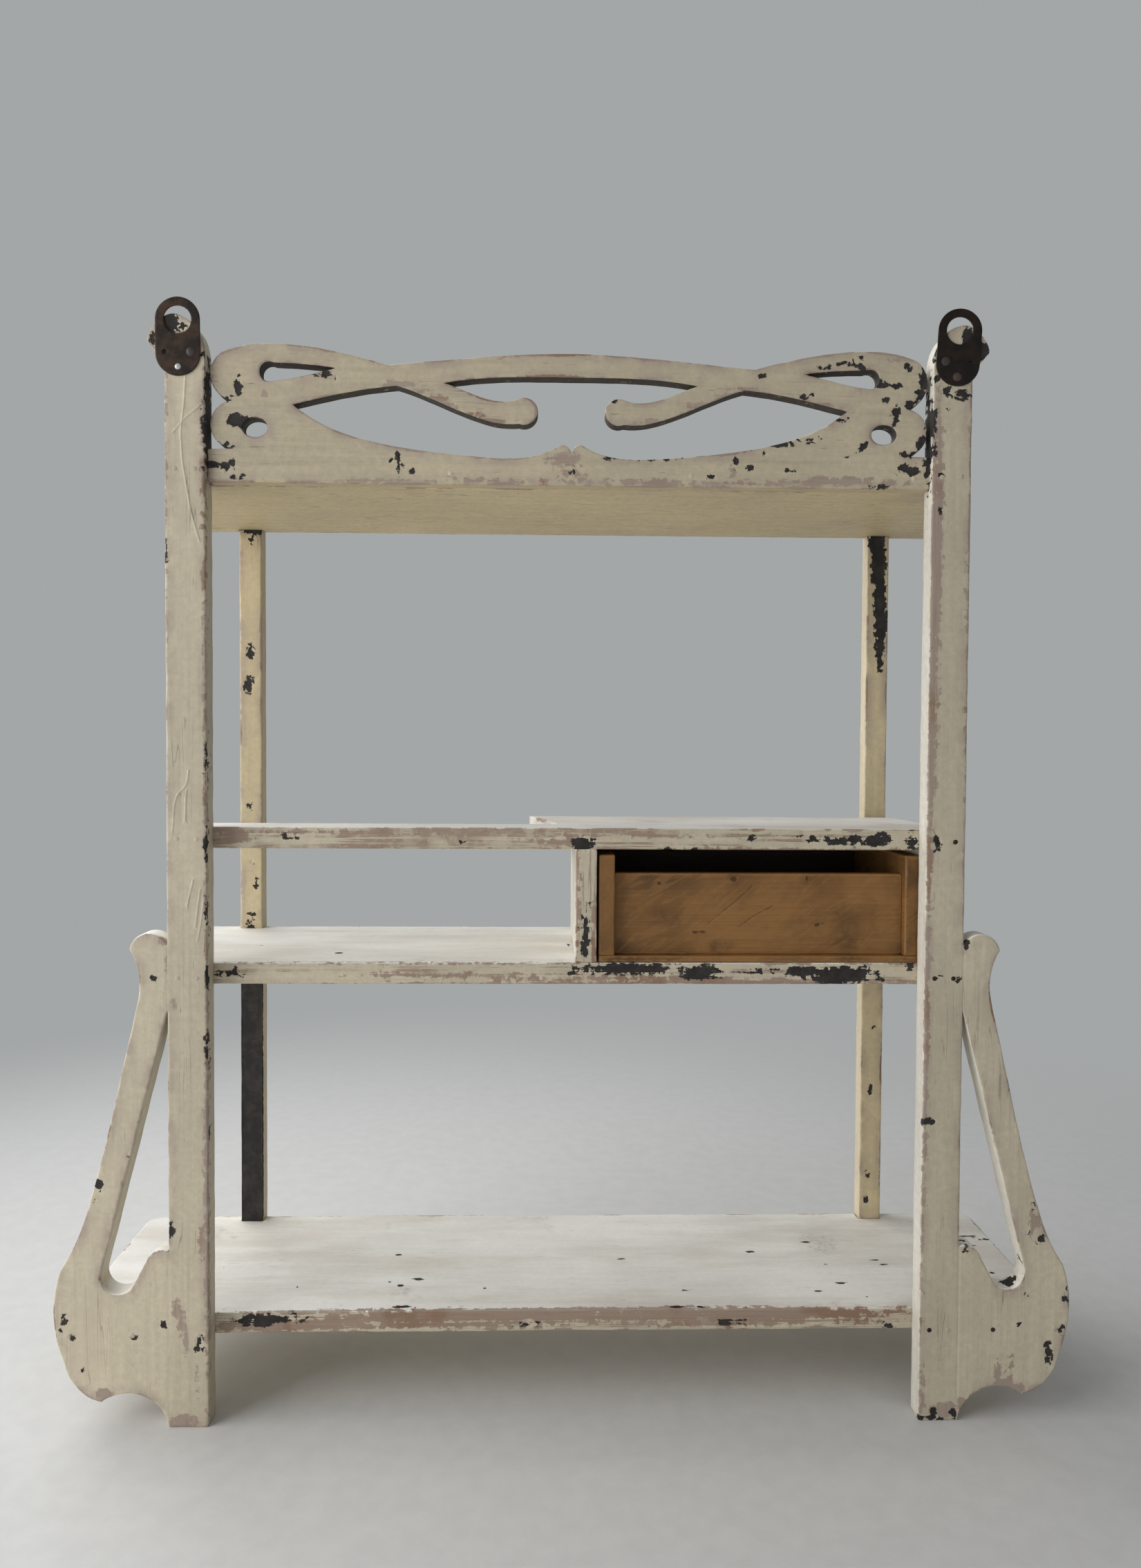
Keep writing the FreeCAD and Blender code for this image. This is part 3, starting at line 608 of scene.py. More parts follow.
def wall_side_spots(marks, near):
    """Centres, radii and least radius on the face of chips or rubs on the face at y = near."""
    table = np.array([(*mark, SPOT_DEPTH, 0.0)[:6] for mark in marks], dtype=float).reshape(-1, 6)
    centres = np.column_stack([table[:, 0], near + table[:, 5], table[:, 1]])
    radii = SPOT_SPREAD * np.column_stack([table[:, 2], table[:, 4], table[:, 3]]) + SPOT_RIM
    return centres, radii, radii[:, [X, Z]].min(axis=1)


def upper_side_spots(marks, top):
    """The same for specks given as x, y, half width and half length at z = top."""
    table = np.array(marks, dtype=float).reshape(-1, 4)
    centres = np.column_stack([table[:, :2], np.full(len(table), top)])
    radii = np.column_stack([table[:, 2:], np.full(len(table), SPOT_DEPTH)])
    return centres, radii, SPECK_DEEPENING * radii[:, [X, Y]].min(axis=1)


def make_piece(name, points, faces, values, material):
    """Mesh object at the origin from points in mm, arrays of faces and values of its points."""
    mesh = bpy.data.meshes.new(name)
    mesh.from_pydata((points * MM).tolist(), [], sum((group.tolist() for group in faces), []))
    for label, kept in values.items():
        store = mesh.attributes.new(label, "FLOAT", "POINT")
        store.data.foreach_set("value", np.asarray(kept, dtype=np.float32))
    mesh.shade_smooth()
    mesh.set_sharp_from_angle(angle=SHARP_TURN)
    mesh.materials.append(material)
    piece = bpy.data.objects.new(name, mesh)
    bpy.context.scene.collection.objects.link(piece)
    return piece


class Outline:
    """Closed outlines of a board's face in mm, with their runs and the way inwards at each point.

    The way inwards is the mean of the two runs that meet at a point, turned to the left.
    """

    def __init__(self, loops):
        self.loops = loops
        self.sizes = [len(loop) for loop in loops]
        self.points = np.concatenate(loops)
        self.count = len(self.points)
        starts = np.cumsum([0] + self.sizes)
        self.following = np.arange(self.count) + 1
        self.following[starts[1:] - 1] = starts[:-1]
        self.leading = np.empty(self.count, dtype=int)
        self.leading[self.following] = np.arange(self.count)
        self.ends = self.points[self.following]
        self.length = np.linalg.norm(self.ends - self.points, axis=1)
        self.tangent = (self.ends - self.points) / self.length[:, None]
        mean = self.tangent + self.tangent[self.leading]
        mean /= np.maximum(np.linalg.norm(mean, axis=1), 1e-6)[:, None]
        self.inward = np.column_stack([-mean[:, 1], mean[:, 0]])

    def seam(self, name, axis, step):
        """Which points lie on the outline of the board that this one is glued to."""
        if name not in GLUED:
            return np.zeros(self.count, dtype=bool)
        other = Outline([divided(loop, step) for loop in cap_loops(GLUED[name], axis)])
        return distance_to(self.points, other.points, other.ends) < SEAM_GAP

    def radius(self, rounding, thick, dice):
        """Radius of the worn edge: the mean rounding times 1 plus a mean of sine waves.

        The waves run with the distance along the outline. Where the edge would fold or come near
        to another run, its radius shrinks, again and again.
        """
        run = np.cumsum(self.length)
        rates = dice.uniform(*WAVE_RATES, WAVES)
        wander = np.sin(run[:, None] * rates + dice.uniform(0, WAVE_PHASE, WAVES)).mean(axis=1)
        radius = rounding * np.clip(1 + 1.1 * wander, 0.45, 1.8)
        radius = np.minimum(radius, 0.45 * thick)
        for _ in range(8):
            moved = self.points + radius[:, None] * self.inward
            gap = distance_to(moved, self.points, self.ends)
            ahead = ((moved[self.following] - moved) * self.tangent).sum(axis=1)
            folds = ahead < 0.15 * self.length
            tight = (gap < 0.85 * radius) | folds | folds[self.leading]
            radius = np.where(tight, 0.6 * radius, radius)
        return np.minimum(radius, (radius + radius[self.following] + radius[self.leading]) / 3)

    def corner_gap(self):
        """Distance of each point to the nearest point where the outline turns a corner."""
        turning = np.abs(turn_between(self.tangent[self.leading], self.tangent)) > WORN_TURN
        if not turning.any():
            return np.full(self.count, FAR)
        return distance_to(self.points, self.points[turning], self.points[turning])

    def black(self, up):
        """How black each wall point was left: small openings all round, others looking down."""
        height, rise = self.points[:, up], -self.inward[:, up]
        small = [np.ptp(loop, axis=0).max() < SMALL_OPENING for loop in self.loops]
        black = np.where(np.repeat(small, self.sizes), 1.0, np.clip(0.6 - 1.7 * rise, 0, 1))
        return black * (height > height.min() + BARE_FOOT)


def edge_profile(radius, thick):
    """Inset and depth of each ring of a board's edge, from one face over the wall to the other.

    Over the rounded edge inset = r (1 - sin a) and depth = r (1 - cos a) for a from 0 to 90
    degrees; then the wall runs straight to the other edge.
    """
    angle = np.radians(EDGE_ANGLES)[:, None]
    inset = radius * (1 - np.sin(angle))
    depth = radius * (1 - np.cos(angle))
    wall = radius + np.array(WALL_SHARES)[:, None] * (thick / 2 - radius)
    back = wall[-2::-1]
    insets = np.concatenate([inset, 0 * wall, 0 * back, inset[::-1]])
    depths = np.concatenate([depth, wall, thick - back, thick - depth[::-1]])
    return insets, depths


def face_points(outline, rounding, step, face_step, centres, radii, ridges, dice):
    """Points that carry a face's detail: a shaken grid and rows along edges, spots and ridges.

    Each set keeps its own distance to the outline; points outside or nearer are left out.
    """
    low, high = outline.points.min(axis=0), outline.points.max(axis=0)
    grid = flat_grid(*(np.arange(low[k], high[k], face_step) for k in (0, 1)))
    sets = [(grid + dice.uniform(-0.2, 0.2, grid.shape) * face_step, rounding + 0.4 * step)]
    for offset, each in EDGE_ROWS:
        row = outline.points + (rounding + offset) * outline.inward
        sets.append((row[::each], rounding + 0.85 * offset))
    over = centres[:, None] + flat_grid(SPOT_GRID, SPOT_GRID)[None] * radii[:, None]
    sets.append((over.reshape(-1, 2), rounding + RIM_ROOM))
    for line in ridges:
        aside = np.column_stack([-np.gradient(line[:, 1]), np.gradient(line[:, 0])])
        aside /= np.linalg.norm(aside, axis=1)[:, None]
        sets += [(line + offset * aside, rounding + RIM_ROOM) for offset in RIDGE_ROWS]
    points = np.concatenate([some for some, _ in sets])
    room = np.concatenate([np.full(len(some), gap) for some, gap in sets])
    kept = inside(points, outline.points, outline.ends)
    points, room = points[kept], room[kept]
    kept = distance_to(points, outline.points, outline.ends) > room
    return np.unique(np.round(points[kept], 1), axis=0)


def filled_face(name, rim, extra, following):
    """Triangles that fill a face between its rim and its extra points."""
    flat = np.concatenate([rim, extra])
    edges = np.column_stack([np.arange(len(rim)), following])
    filled = geometry.delaunay_2d_cdt(flat.tolist(), edges.tolist(), [], 0, 1e-6)
    if len(filled[0]) != len(flat) or np.abs(np.array(filled[0]) - flat).max() > ON_FACE:
        raise RuntimeError(f"{name}: the face outline crosses itself")
    triangles = np.array(filled[2])
    return triangles[inside(flat[triangles].mean(axis=1), rim, rim[following])]


def board_surface(name, axis, rounding, corner, step, face_step, loops=None, span=None):
    """Board with worn edges: an edge profile carried along the node's outlines, and two faces.

    Ring k of the profile lies inset(k) inside the outline and depth(k) below the face. Chips are
    sunk into the wall side, and ridges raised from it. Returns points in mm, arrays of faces and
    the values kept at points.
    """
    across = [(axis + 1) % 3, (axis + 2) % 3]
    box_low, box_high = box_mm(name)
    low, high = span or (box_low[axis], box_high[axis])
    near, thick = box_low[Y], high - low
    loops = loops or cap_loops(name, axis)
    outline = Outline([divided(softened(loop, corner), step) for loop in loops])
    count = outline.count
    seam = outline.seam(name, axis, step)
    dice = np.random.default_rng(sum(name.encode()))
    radius = outline.radius(rounding, thick, dice)
    radius[seam] = SEAM_RADIUS
    inset, depth = edge_profile(radius, thick)
    rings = np.empty((len(depth), count, 3))
    rings[:, :, across] = outline.points + inset[:, :, None] * outline.inward
    rings[:, :, axis] = high - depth

    chips, scuffs, specks = (marks.get(name, ()) for marks in (CHIPS, SCUFFS, SPECKS))
    on_wall_side = axis == Y
    spots = wall_side_spots(chips + scuffs, low) if on_wall_side else upper_side_spots(specks, high)
    centres, radii = (table[:, across] for table in spots[:2])
    ridges = [divided_line(np.array(line)[:, ::-1], RIDGE_STEP) for line in RIDGES.get(name, ())]
    extra = face_points(outline, rounding, step, face_step, centres, radii, ridges, dice)
    rim = rings[0][:, across]
    triangles = filled_face(name, rim, extra, outline.following)

    total = len(depth) * count
    sides = np.empty((2, len(extra), 3))
    sides[:, :, across] = extra
    sides[:, :, axis] = np.array([[high], [low]])
    points = np.concatenate([rings.reshape(-1, 3), sides.reshape(-1, 3)])
    ring = np.arange(len(depth) - 1)[:, None] * count
    here, there = np.arange(count), outline.following
    below = ring + count
    quads = np.stack([below + here, below + there, ring + there, ring + here], axis=-1)
    on_rim = triangles < count
    upper = np.where(on_rim, triangles, triangles - count + total)
    lower = np.where(on_rim, triangles + total - count, triangles - count + total + len(extra))
    faces = [quads.reshape(-1, 4), upper, lower[:, ::-1]]

    shown = ~(seam & seam[outline.following])
    start, end = outline.points[shown], outline.ends[shown]
    face_edge = distance_to(extra, start, end)
    wall_edge = np.minimum(np.minimum(depth, thick - depth), outline.corner_gap())
    wall_edge = wall_edge * (SIDE_WEAR if on_wall_side else 1.0)
    worn_edge = np.where(inset > 0, 0.3 * (radius - inset) + 0.2 * inset, wall_edge)
    ring_edge = np.where(seam, distance_to(outline.points, start, end), worn_edge)
    is_wall = (inset < 0.3 * radius) & ~seam
    no_wall = np.zeros(2 * len(extra))
    ridge = np.full(len(points), RIDGE_REACH)
    if ridges:
        on_low = points[:, axis] < low + ON_FACE
        start = np.concatenate([line[:-1] for line in ridges])
        end = np.concatenate([line[1:] for line in ridges])
        gap = distance_to(points[on_low][:, across], start, end)
        ridge[on_low] = np.minimum(RIDGE_REACH, gap)
    values = {
        "edge": np.concatenate([ring_edge.reshape(-1), face_edge, face_edge]).clip(0, FAR),
        "wall": np.concatenate([is_wall.reshape(-1), no_wall]),
        "ridge": 1 - ridge / RIDGE_REACH,
        "chip": spot_depth(points, *wall_side_spots(chips, near)),
        "scuff": spot_depth(points, *wall_side_spots(scuffs, near)),
    }
    if name in BLACK_WALLED:
        black = is_wall * outline.black(across.index(Z))
        values["black"] = np.concatenate([black.reshape(-1), no_wall])
    if specks:
        on_top = spot_depth(points, *upper_side_spots(specks, high))
        values["chip"] = np.maximum(values["chip"], on_top)
    sunk = CHIP_SINK * np.clip(values["chip"] / CHIP_SLOPE, 0, 1)
    sunk -= RIDGE_RISE.get(name, 0.0) * values["ridge"] ** RIDGE_POWER
    on_near = points[:, Y] < near + ON_FACE
    points[on_near, Y] += sunk[on_near]
    return points, faces, values


def even_values(count):
    """Values of points far from any edge, chip, rub or ridge."""
    even = {"edge": 3.0, "wall": 0.0, "ridge": 0.0, "chip": -FAR, "scuff": -FAR}
    return {label: np.full(count, value) for label, value in even.items()}


def turned_surface(profile, parts, axis):
    """Turned surface: each (radius, height) of the profile goes round the axis in equal parts.

    Returns its points, its quads and the two faces that close it at the first and last ring.
    """
    radius, along = np.array(profile, dtype=float).T
    round_about = np.linspace(0, 2 * math.pi, parts, endpoint=False)
    points = np.empty((len(radius), parts, 3))
    points[:, :, axis] = along[:, None]
    points[:, :, (axis + 1) % 3] = radius[:, None] * np.cos(round_about)
    points[:, :, (axis + 2) % 3] = radius[:, None] * np.sin(round_about)
    here = np.arange(parts)
    there = (here + 1) % parts
    ring = np.arange(len(radius) - 1)[:, None] * parts
    next_ring = ring + parts
    quads = np.stack([ring + here, ring + there, next_ring + there, next_ring + here], axis=-1)
    caps = np.stack([here[::-1], (len(radius) - 1) * parts + here])
    return points.reshape(-1, 3), quads.reshape(-1, 4), caps


def rounded_profile(profile, times):
    """Profile whose corners are cut at a quarter of each run, over and over, so that it bends."""
    points = np.array(profile, dtype=float)
    for _ in range(times):
        early = 0.75 * points[:-1] + 0.25 * points[1:]
        late = 0.25 * points[:-1] + 0.75 * points[1:]
        middle = np.stack([early, late], axis=1).reshape(-1, 2)
        points = np.concatenate([points[:1], middle, points[-1:]])
    return points


def nail_row(centres, profile, axis):
    """One turned nail head for each centre, all in one mesh: points in mm and arrays of faces."""
    points, quads, caps = turned_surface(profile, NAIL_PARTS, axis)
    shift = np.arange(len(centres))[:, None, None] * len(points)
    spread = np.asarray(centres, dtype=float)[:, None] + points[None]
    faces = [(quads[None] + shift).reshape(-1, 4), (caps[None] + shift).reshape(-1, NAIL_PARTS)]
    return spread.reshape(-1, 3), faces


class Recipe:
    """Shader nodes of one material or world, added and linked step by step."""

    def __init__(self, owner):
        owner.use_nodes = True
        self.owner = owner
        self.tree = owner.node_tree
        self.tree.nodes.clear()

    @functools.cached_property
    def place(self):
        """Object coordinates."""
        return self.node("ShaderNodeTexCoord").outputs["Object"]

    def node(self, kind, values=None, **settings):
        """New node with its settings made and each input linked or set."""
        made = self.tree.nodes.new(kind)
        for key, value in settings.items():
            setattr(made, key, value)
        for key, value in (values or {}).items():
            if isinstance(value, bpy.types.NodeSocket):
                self.tree.links.new(value, made.inputs[key])
            else:
                made.inputs[key].default_value = value
        return made

    def joined(self, operation, values):
        """Values joined one after the other by the same operation."""
        total = values[0]
        for value in values[1:]:
            made = self.node("ShaderNodeMath", {0: total, 1: value}, operation=operation)
            total = made.outputs[0]
        return total

    def plus(self, *values):
        """All values added."""
        return self.joined("ADD", values)

    def minus(self, *values):
        """First value less the others."""
        return self.joined("SUBTRACT", values)

    def times(self, *values):
        """All values multiplied."""
        return self.joined("MULTIPLY", values)

    def most(self, *values):
        """Largest of the values."""
        return self.joined("MAXIMUM", values)

    def swing(self, value, reach):
        """Pattern between 0 and 1 that swings about zero: (value - 0.5) * reach."""
        return self.times(self.minus(value, 0.5), reach)

    def step(self, value, low, high, least=0.0, most=1.0):
        """Soft step of a value from low to high."""
        made = self.node(
            "ShaderNodeMapRange",
            {"Value": value, "From Min": low, "From Max": high, "To Min": least, "To Max": most},
            interpolation_type="SMOOTHSTEP",
        )
        return made.outputs["Result"]

    def mix(self, share, first, second, blend="MIX"):
        """One colour laid over another by a share."""
        values = {0: share, 6: first, 7: second}
        return self.node("ShaderNodeMix", values, data_type="RGBA", blend_type=blend).outputs[2]

    def stretched(self, scale, shift=(0.0, 0.0, 0.0), turn=(0.0, 0.0, 0.0)):
        """Object coordinates turned, stretched and shifted."""
        turned = self.place
        if any(turn):
            values = {"Vector": turned, "Rotation": turn}
            turned = self.node("ShaderNodeMapping", values).outputs[0]
        values = {"Vector": turned, "Scale": scale, "Location": shift}
        return self.node("ShaderNodeMapping", values).outputs[0]

    def noise(self, scale, detail, roughness, vector=None, distortion=0.0):
        """Cloudy pattern between 0 and 1."""
        values = {
            "Vector": vector or self.place,
            "Scale": scale,
            "Detail": detail,
            "Roughness": roughness,
            "Distortion": distortion,
        }
        return self.node("ShaderNodeTexNoise", values).outputs["Fac"]

    def shifted(self, scale, detail, roughness, shift, distortion=0.0):
        """Cloudy pattern taken from another place."""
        return self.noise(scale, detail, roughness, self.stretched((1, 1, 1), shift), distortion)

    def grained(
        self, grain, along, across, detail, roughness, shift=(0.0, 0.0, 0.0), distortion=0.0
    ):
        """Cloudy pattern with its own scale along the grain axis and across it."""
        scale = tuple(along if axis == grain else across for axis in (X, Y, Z))
        return self.noise(1.0, detail, roughness, self.stretched(scale, shift), distortion)

    def flakes(self, scale, bend):
        """Chance value of each of many small angular cells whose borders are bent a little."""
        values = {"Vector": self.place, "Scale": 1.3 * scale, "Detail": 2.0}
        bent = self.node("ShaderNodeTexNoise", values).outputs["Color"]
        aside = self.node("ShaderNodeVectorMath", {0: bent, 3: bend}, operation="SCALE").outputs[0]
        moved = self.node("ShaderNodeVectorMath", {0: self.place, 1: aside}, operation="ADD")
        cells = self.node("ShaderNodeTexVoronoi", {"Vector": moved.outputs[0], "Scale": scale})
        return self.node("ShaderNodeSeparateColor", {0: cells.outputs["Color"]}).outputs[0]

    def kept(self, label):
        """Value kept at the points of the mesh."""
        settings = {"attribute_name": label, "attribute_type": "GEOMETRY"}
        return self.node("ShaderNodeAttribute", **settings).outputs["Fac"]

    def looked_at(self):
        """1 where the camera, a mirror or glass looks, 0 where light falls."""
        rays = self.node("ShaderNodeLightPath").outputs
        return self.most(*(rays[f"Is {kind} Ray"] for kind in ("Camera", "Glossy", "Transmission")))

    def finish(self, colour, roughness, height, depth, strength, metallic=0.0, shine=0.5):
        """Surface shader with a bump of the given depth in metres."""
        values = {"Height": height, "Distance": depth, "Strength": strength}
        bump = self.node("ShaderNodeBump", values).outputs[0]
        values = {
            "Base Color": colour,
            "Roughness": roughness,
            "Normal": bump,
            "Metallic": metallic,
            "Specular IOR Level": shine,
        }
        surface = self.node("ShaderNodeBsdfPrincipled", values).outputs[0]
        self.node("ShaderNodeOutputMaterial", {"Surface": surface})
        return self.owner


def rgba(colour, share=1.0):
    """Colour times a share, with full cover."""
    return (*(share * c for c in colour), 1.0)


def paint_patterns(look, grain, streaked):
    """Everything that worn paint goes by: kept values, ways a face looks, clouds and strokes."""
    normal = look.node("ShaderNodeTexCoord").outputs["Normal"]
    facing = look.node("ShaderNodeSeparateXYZ", {0: normal}).outputs
    upper = look.step(facing["Z"], 0.35, 0.85)
    seen = SimpleNamespace(
        edge=look.kept("edge"),
        wall=look.kept("wall"),
        chip=look.kept("chip"),
        scuff=look.kept("scuff"),
        upper=upper,
        # Faces that look up, and at half strength faces that look to the left, take the paler
        # paint: painted light.
        light=look.most(upper, look.step(facing["X"], -0.45, -0.9, 0.0, 0.5)),
        under_side=look.step(facing["Z"], -0.35, -0.85, 0.0, 0.75),
        front=look.step(facing["Y"], 0.3, 0.8, 0.0, 0.045),
        cloud=look.noise(8.0, 4.0, 0.55),
        patch=look.noise(30.0, 4.0, 0.6),
        blotch=look.shifted(15.0, 5.0, 0.6, (3.1, 1.7, 0.4)),
        mottle=look.noise(190.0, 6.0, 0.72),
        rag=look.noise(330.0, 5.0, 0.66),
        crumb=look.shifted(100.0, 6.0, 0.68, (0.7, 2.3, 1.9)),
        brush=look.grained(grain, 7.0, 240.0, 4.0, 0.6),
        streak=look.grained(grain, 5.0, 190.0, 5.0, 0.62, (2.0, 9.0, 6.0)),
        fibre=look.grained(grain, 26.0, 1300.0, 3.0, 0.55, (5.0, 3.0, 1.0)),
        tick=look.grained(grain, 55.0, 1000.0, 2.0, 0.5, (1.0, 7.0, 4.0)),
        crack=look.grained(grain, 3.5, 90.0, 2.0, 0.5, (7.0, 2.0, 3.0)),
        tea=look.grained(grain, 3.2, 15.0, 5.0, 0.62, (1.3, 0.2, 5.1)),
        flake=look.flakes(230.0, 0.0022),
    )
    if streaked:
        seen.fine = look.grained(grain, 9.0, 480.0, 4.0, 0.6, (4.0, 6.0, 1.0))
    return seen


def paint_marks(look, seen):
    """Short dark ticks, more of them on undersides, and long thin cracks on upright faces."""
    tick = look.plus(seen.tick, look.times(seen.under_side, 0.07))
    ticks = look.times(look.step(tick, 0.69, 0.75), look.step(seen.patch, 0.44, 0.60))
    line = look.joined("ABSOLUTE", (look.minus(seen.crack, 0.5), 0.0))
    lines = look.times(look.step(line, 0.007, 0.002), look.step(seen.blotch, 0.52, 0.64, 0.0, 0.6))
    return look.most(ticks, look.times(lines, look.step(seen.light, 0.0, 1.0, 1.0, 0.0)))


def paint_coat(look, seen, colours, marks, warmth, shade, fringed):
    """Colour of the paint: paler on faces that look up or to the left as painted light, yellowed
    below, streaked with grime and thin in places.
    """
    # Painted light: the paler paint where faces look up or to the left.
    paint = look.mix(seen.light, rgba(colours.cream), rgba(colours.painted_light_pale))
    stained = look.times(seen.upper, look.step(seen.tea, 0.42, 0.68, 0.0, 0.45))
    paint = look.mix(stained, paint, rgba(colours.tea_stain))
    paint = look.mix(look.plus(seen.under_side, warmth), paint, rgba(colours.yellowed))
    grime = look.step(seen.streak, 0.50, 0.74, 0.0, 0.32)
    grime = look.times(grime, look.step(seen.light, 0.0, 1.0, 1.0, 0.1))
    paint = look.mix(grime, paint, rgba(colours.grime))

    strokes = look.step(seen.brush, 0.28, 0.72, -0.065, 0.045)
    strokes = look.times(strokes, look.step(seen.light, 0.0, 1.0, 1.0, 0.3))
    speckle = look.step(seen.mottle, 0.30, 0.70, -0.10, 0.07)
    speckle = look.times(speckle, look.step(seen.upper, 0.0, 1.0, 1.0, 0.35))
    darkening = look.times(marks, look.step(seen.under_side, 0.0, 0.75, 0.55, 0.8))
    # shade scales the paint's tone over a whole board: above 1 it paints light on it, below 1 it
    # paints shade.
    tone = look.times(
        look.step(seen.cloud, 0.28, 0.72, 0.92 * shade, 1.06 * shade),
        look.plus(strokes, 1.0),
        look.step(seen.fibre, 0.3, 0.7, 0.98, 1.015),
        look.plus(speckle, 1.0),
        look.minus(1.0, darkening),
    )
    grey = look.node("ShaderNodeCombineColor", {0: tone, 1: tone, 2: tone}).outputs[0]
    paint = look.mix(1.0, paint, grey, "MULTIPLY")

    thin = look.step(seen.mottle, 0.38, 0.62, 0.0, 0.55)
    thin = look.times(look.step(seen.blotch, 0.56, 0.72), thin)
    if fringed:
        fringe = look.times(
            look.step(seen.edge, 11.0, 0.5, 0.0, 0.8),
            look.step(seen.patch, 0.40, 0.58),
            look.step(seen.brush, 0.34, 0.60, 0.35, 1.0),
            look.step(seen.light, 0.0, 0.8, 1.0, 0.0),
        )
        thin = look.most(thin, fringe)
    return look.mix(thin, paint, rgba(colours.mauve))


def rubbed_share(look, seen, ragged, rubbed, rub_least, streaked):
    """Where the paint is rubbed off: along edges, at marked places and in streaks on some walls."""
    reach = look.step(seen.patch, 0.42, 0.68, rub_least, 2.6 * rubbed)
    uneven = look.plus(look.swing(seen.crumb, 4.5 * rubbed), look.swing(seen.rag, 3.4))
    worn = look.step(look.plus(look.minus(reach, seen.edge), uneven), -0.2, 0.8, 0.0, 0.85)
    bare = look.plus(seen.scuff, ragged, look.swing(seen.brush, 7.0))
    share = look.most(worn, look.step(bare, -0.3, 1.3, 0.0, 0.92))
    if streaked:
        drawn = look.times(
            look.most(look.step(seen.streak, 0.54, 0.59), look.step(seen.fine, 0.56, 0.60)),
            look.step(seen.patch, 0.38, 0.56),
            look.step(seen.mottle, 0.36, 0.52, 0.3, 1.0),
            seen.wall,
            streaked,
        )
        share = look.most(share, drawn)
    return share


def flaked_share(look, seen, ragged, chipped, dark_walls):
    """Where paint is off down to the black layer: marked chips, loose flakes, missed walls."""
    marked = look.step(look.plus(seen.chip, ragged), -0.05, 0.25)
    loose = look.shifted(42.0, 7.0, 0.64, (8.3, 4.1, 6.7), 0.6)
    border = look.minus(look.step(seen.edge, 0.0, 9.0, 0.0, 0.08), seen.front)
    border = look.plus(border, look.swing(seen.flake, 0.05))
    least = 0.70 - 0.04 * chipped
    share = look.most(marked, look.step(look.minus(loose, border), least, least + 0.01))
    if dark_walls:
        missed = look.times(look.kept("black"), look.step(seen.crumb, 0.28, 0.42, 0.4, 1.0))
        share = look.most(share, look.times(missed, dark_walls))
    return share


def worn_paint(
    name, grain, colours, warmth=0.0, rubbed=1.0, chipped=0.0, streaked=0.0, dark_walls=0.0,
    rub_least=-1.2, shade=1.0,
):
    """Cream paint brushed along the grain, rubbed thin at edges and chipped to a black layer."""
    look = Recipe(bpy.data.materials.new(name))
    seen = paint_patterns(look, grain, streaked)
    marks = paint_marks(look, seen)
    paint = paint_coat(look, seen, colours, marks, warmth, shade, not streaked)
    ragged = look.plus(
        look.swing(seen.crumb, 7.0), look.swing(seen.rag, 4.0), look.swing(seen.flake, 3.2)
    )
    if streaked:
        ragged = look.plus(ragged, look.swing(seen.fine, 7.0))

    rubbed_off = rubbed_share(look, seen, ragged, rubbed, rub_least, streaked)
    brown = look.plus(look.step(seen.blotch, 0.50, 0.66), look.times(seen.wall, 0.45 * streaked))
    under = look.mix(brown, rgba(colours.mauve), rgba(colours.raw_brown))
    under = look.mix(look.step(seen.fibre, 0.42, 0.70, 0.0, 0.55), under, rgba(colours.raw_brown))
    paint = look.mix(rubbed_off, paint, under)

    flaked = flaked_share(look, seen, ragged, chipped, dark_walls)
    dust = look.step(seen.crumb, 0.40, 0.70)
    black = look.mix(dust, rgba(colours.black_layer), rgba(colours.black_layer, 2.4))
    paint = look.mix(flaked, paint, black)

    gone = look.step(look.plus(rubbed_off, flaked), 0.0, 1.0, 0.52, 0.76)
    roughness = look.plus(gone, look.step(seen.brush, 0.2, 0.8, -0.05, 0.07))
    raised = look.plus(
        look.times(seen.brush, look.step(seen.light, 0.0, 1.0, 0.17, 0.06)),
        look.times(seen.cloud, 0.6),
        look.times(seen.mottle, look.step(seen.light, 0.0, 1.0, 0.34, 0.22)),
        look.times(look.step(look.kept("ridge"), 0.6, 0.98), 0.35),
    )
    height = look.minus(
        raised, look.times(marks, 0.5), look.times(rubbed_off, 0.35), look.times(flaked, 0.9)
    )
    return look.finish(paint, roughness, height, 0.0006, 0.6, shine=0.4)


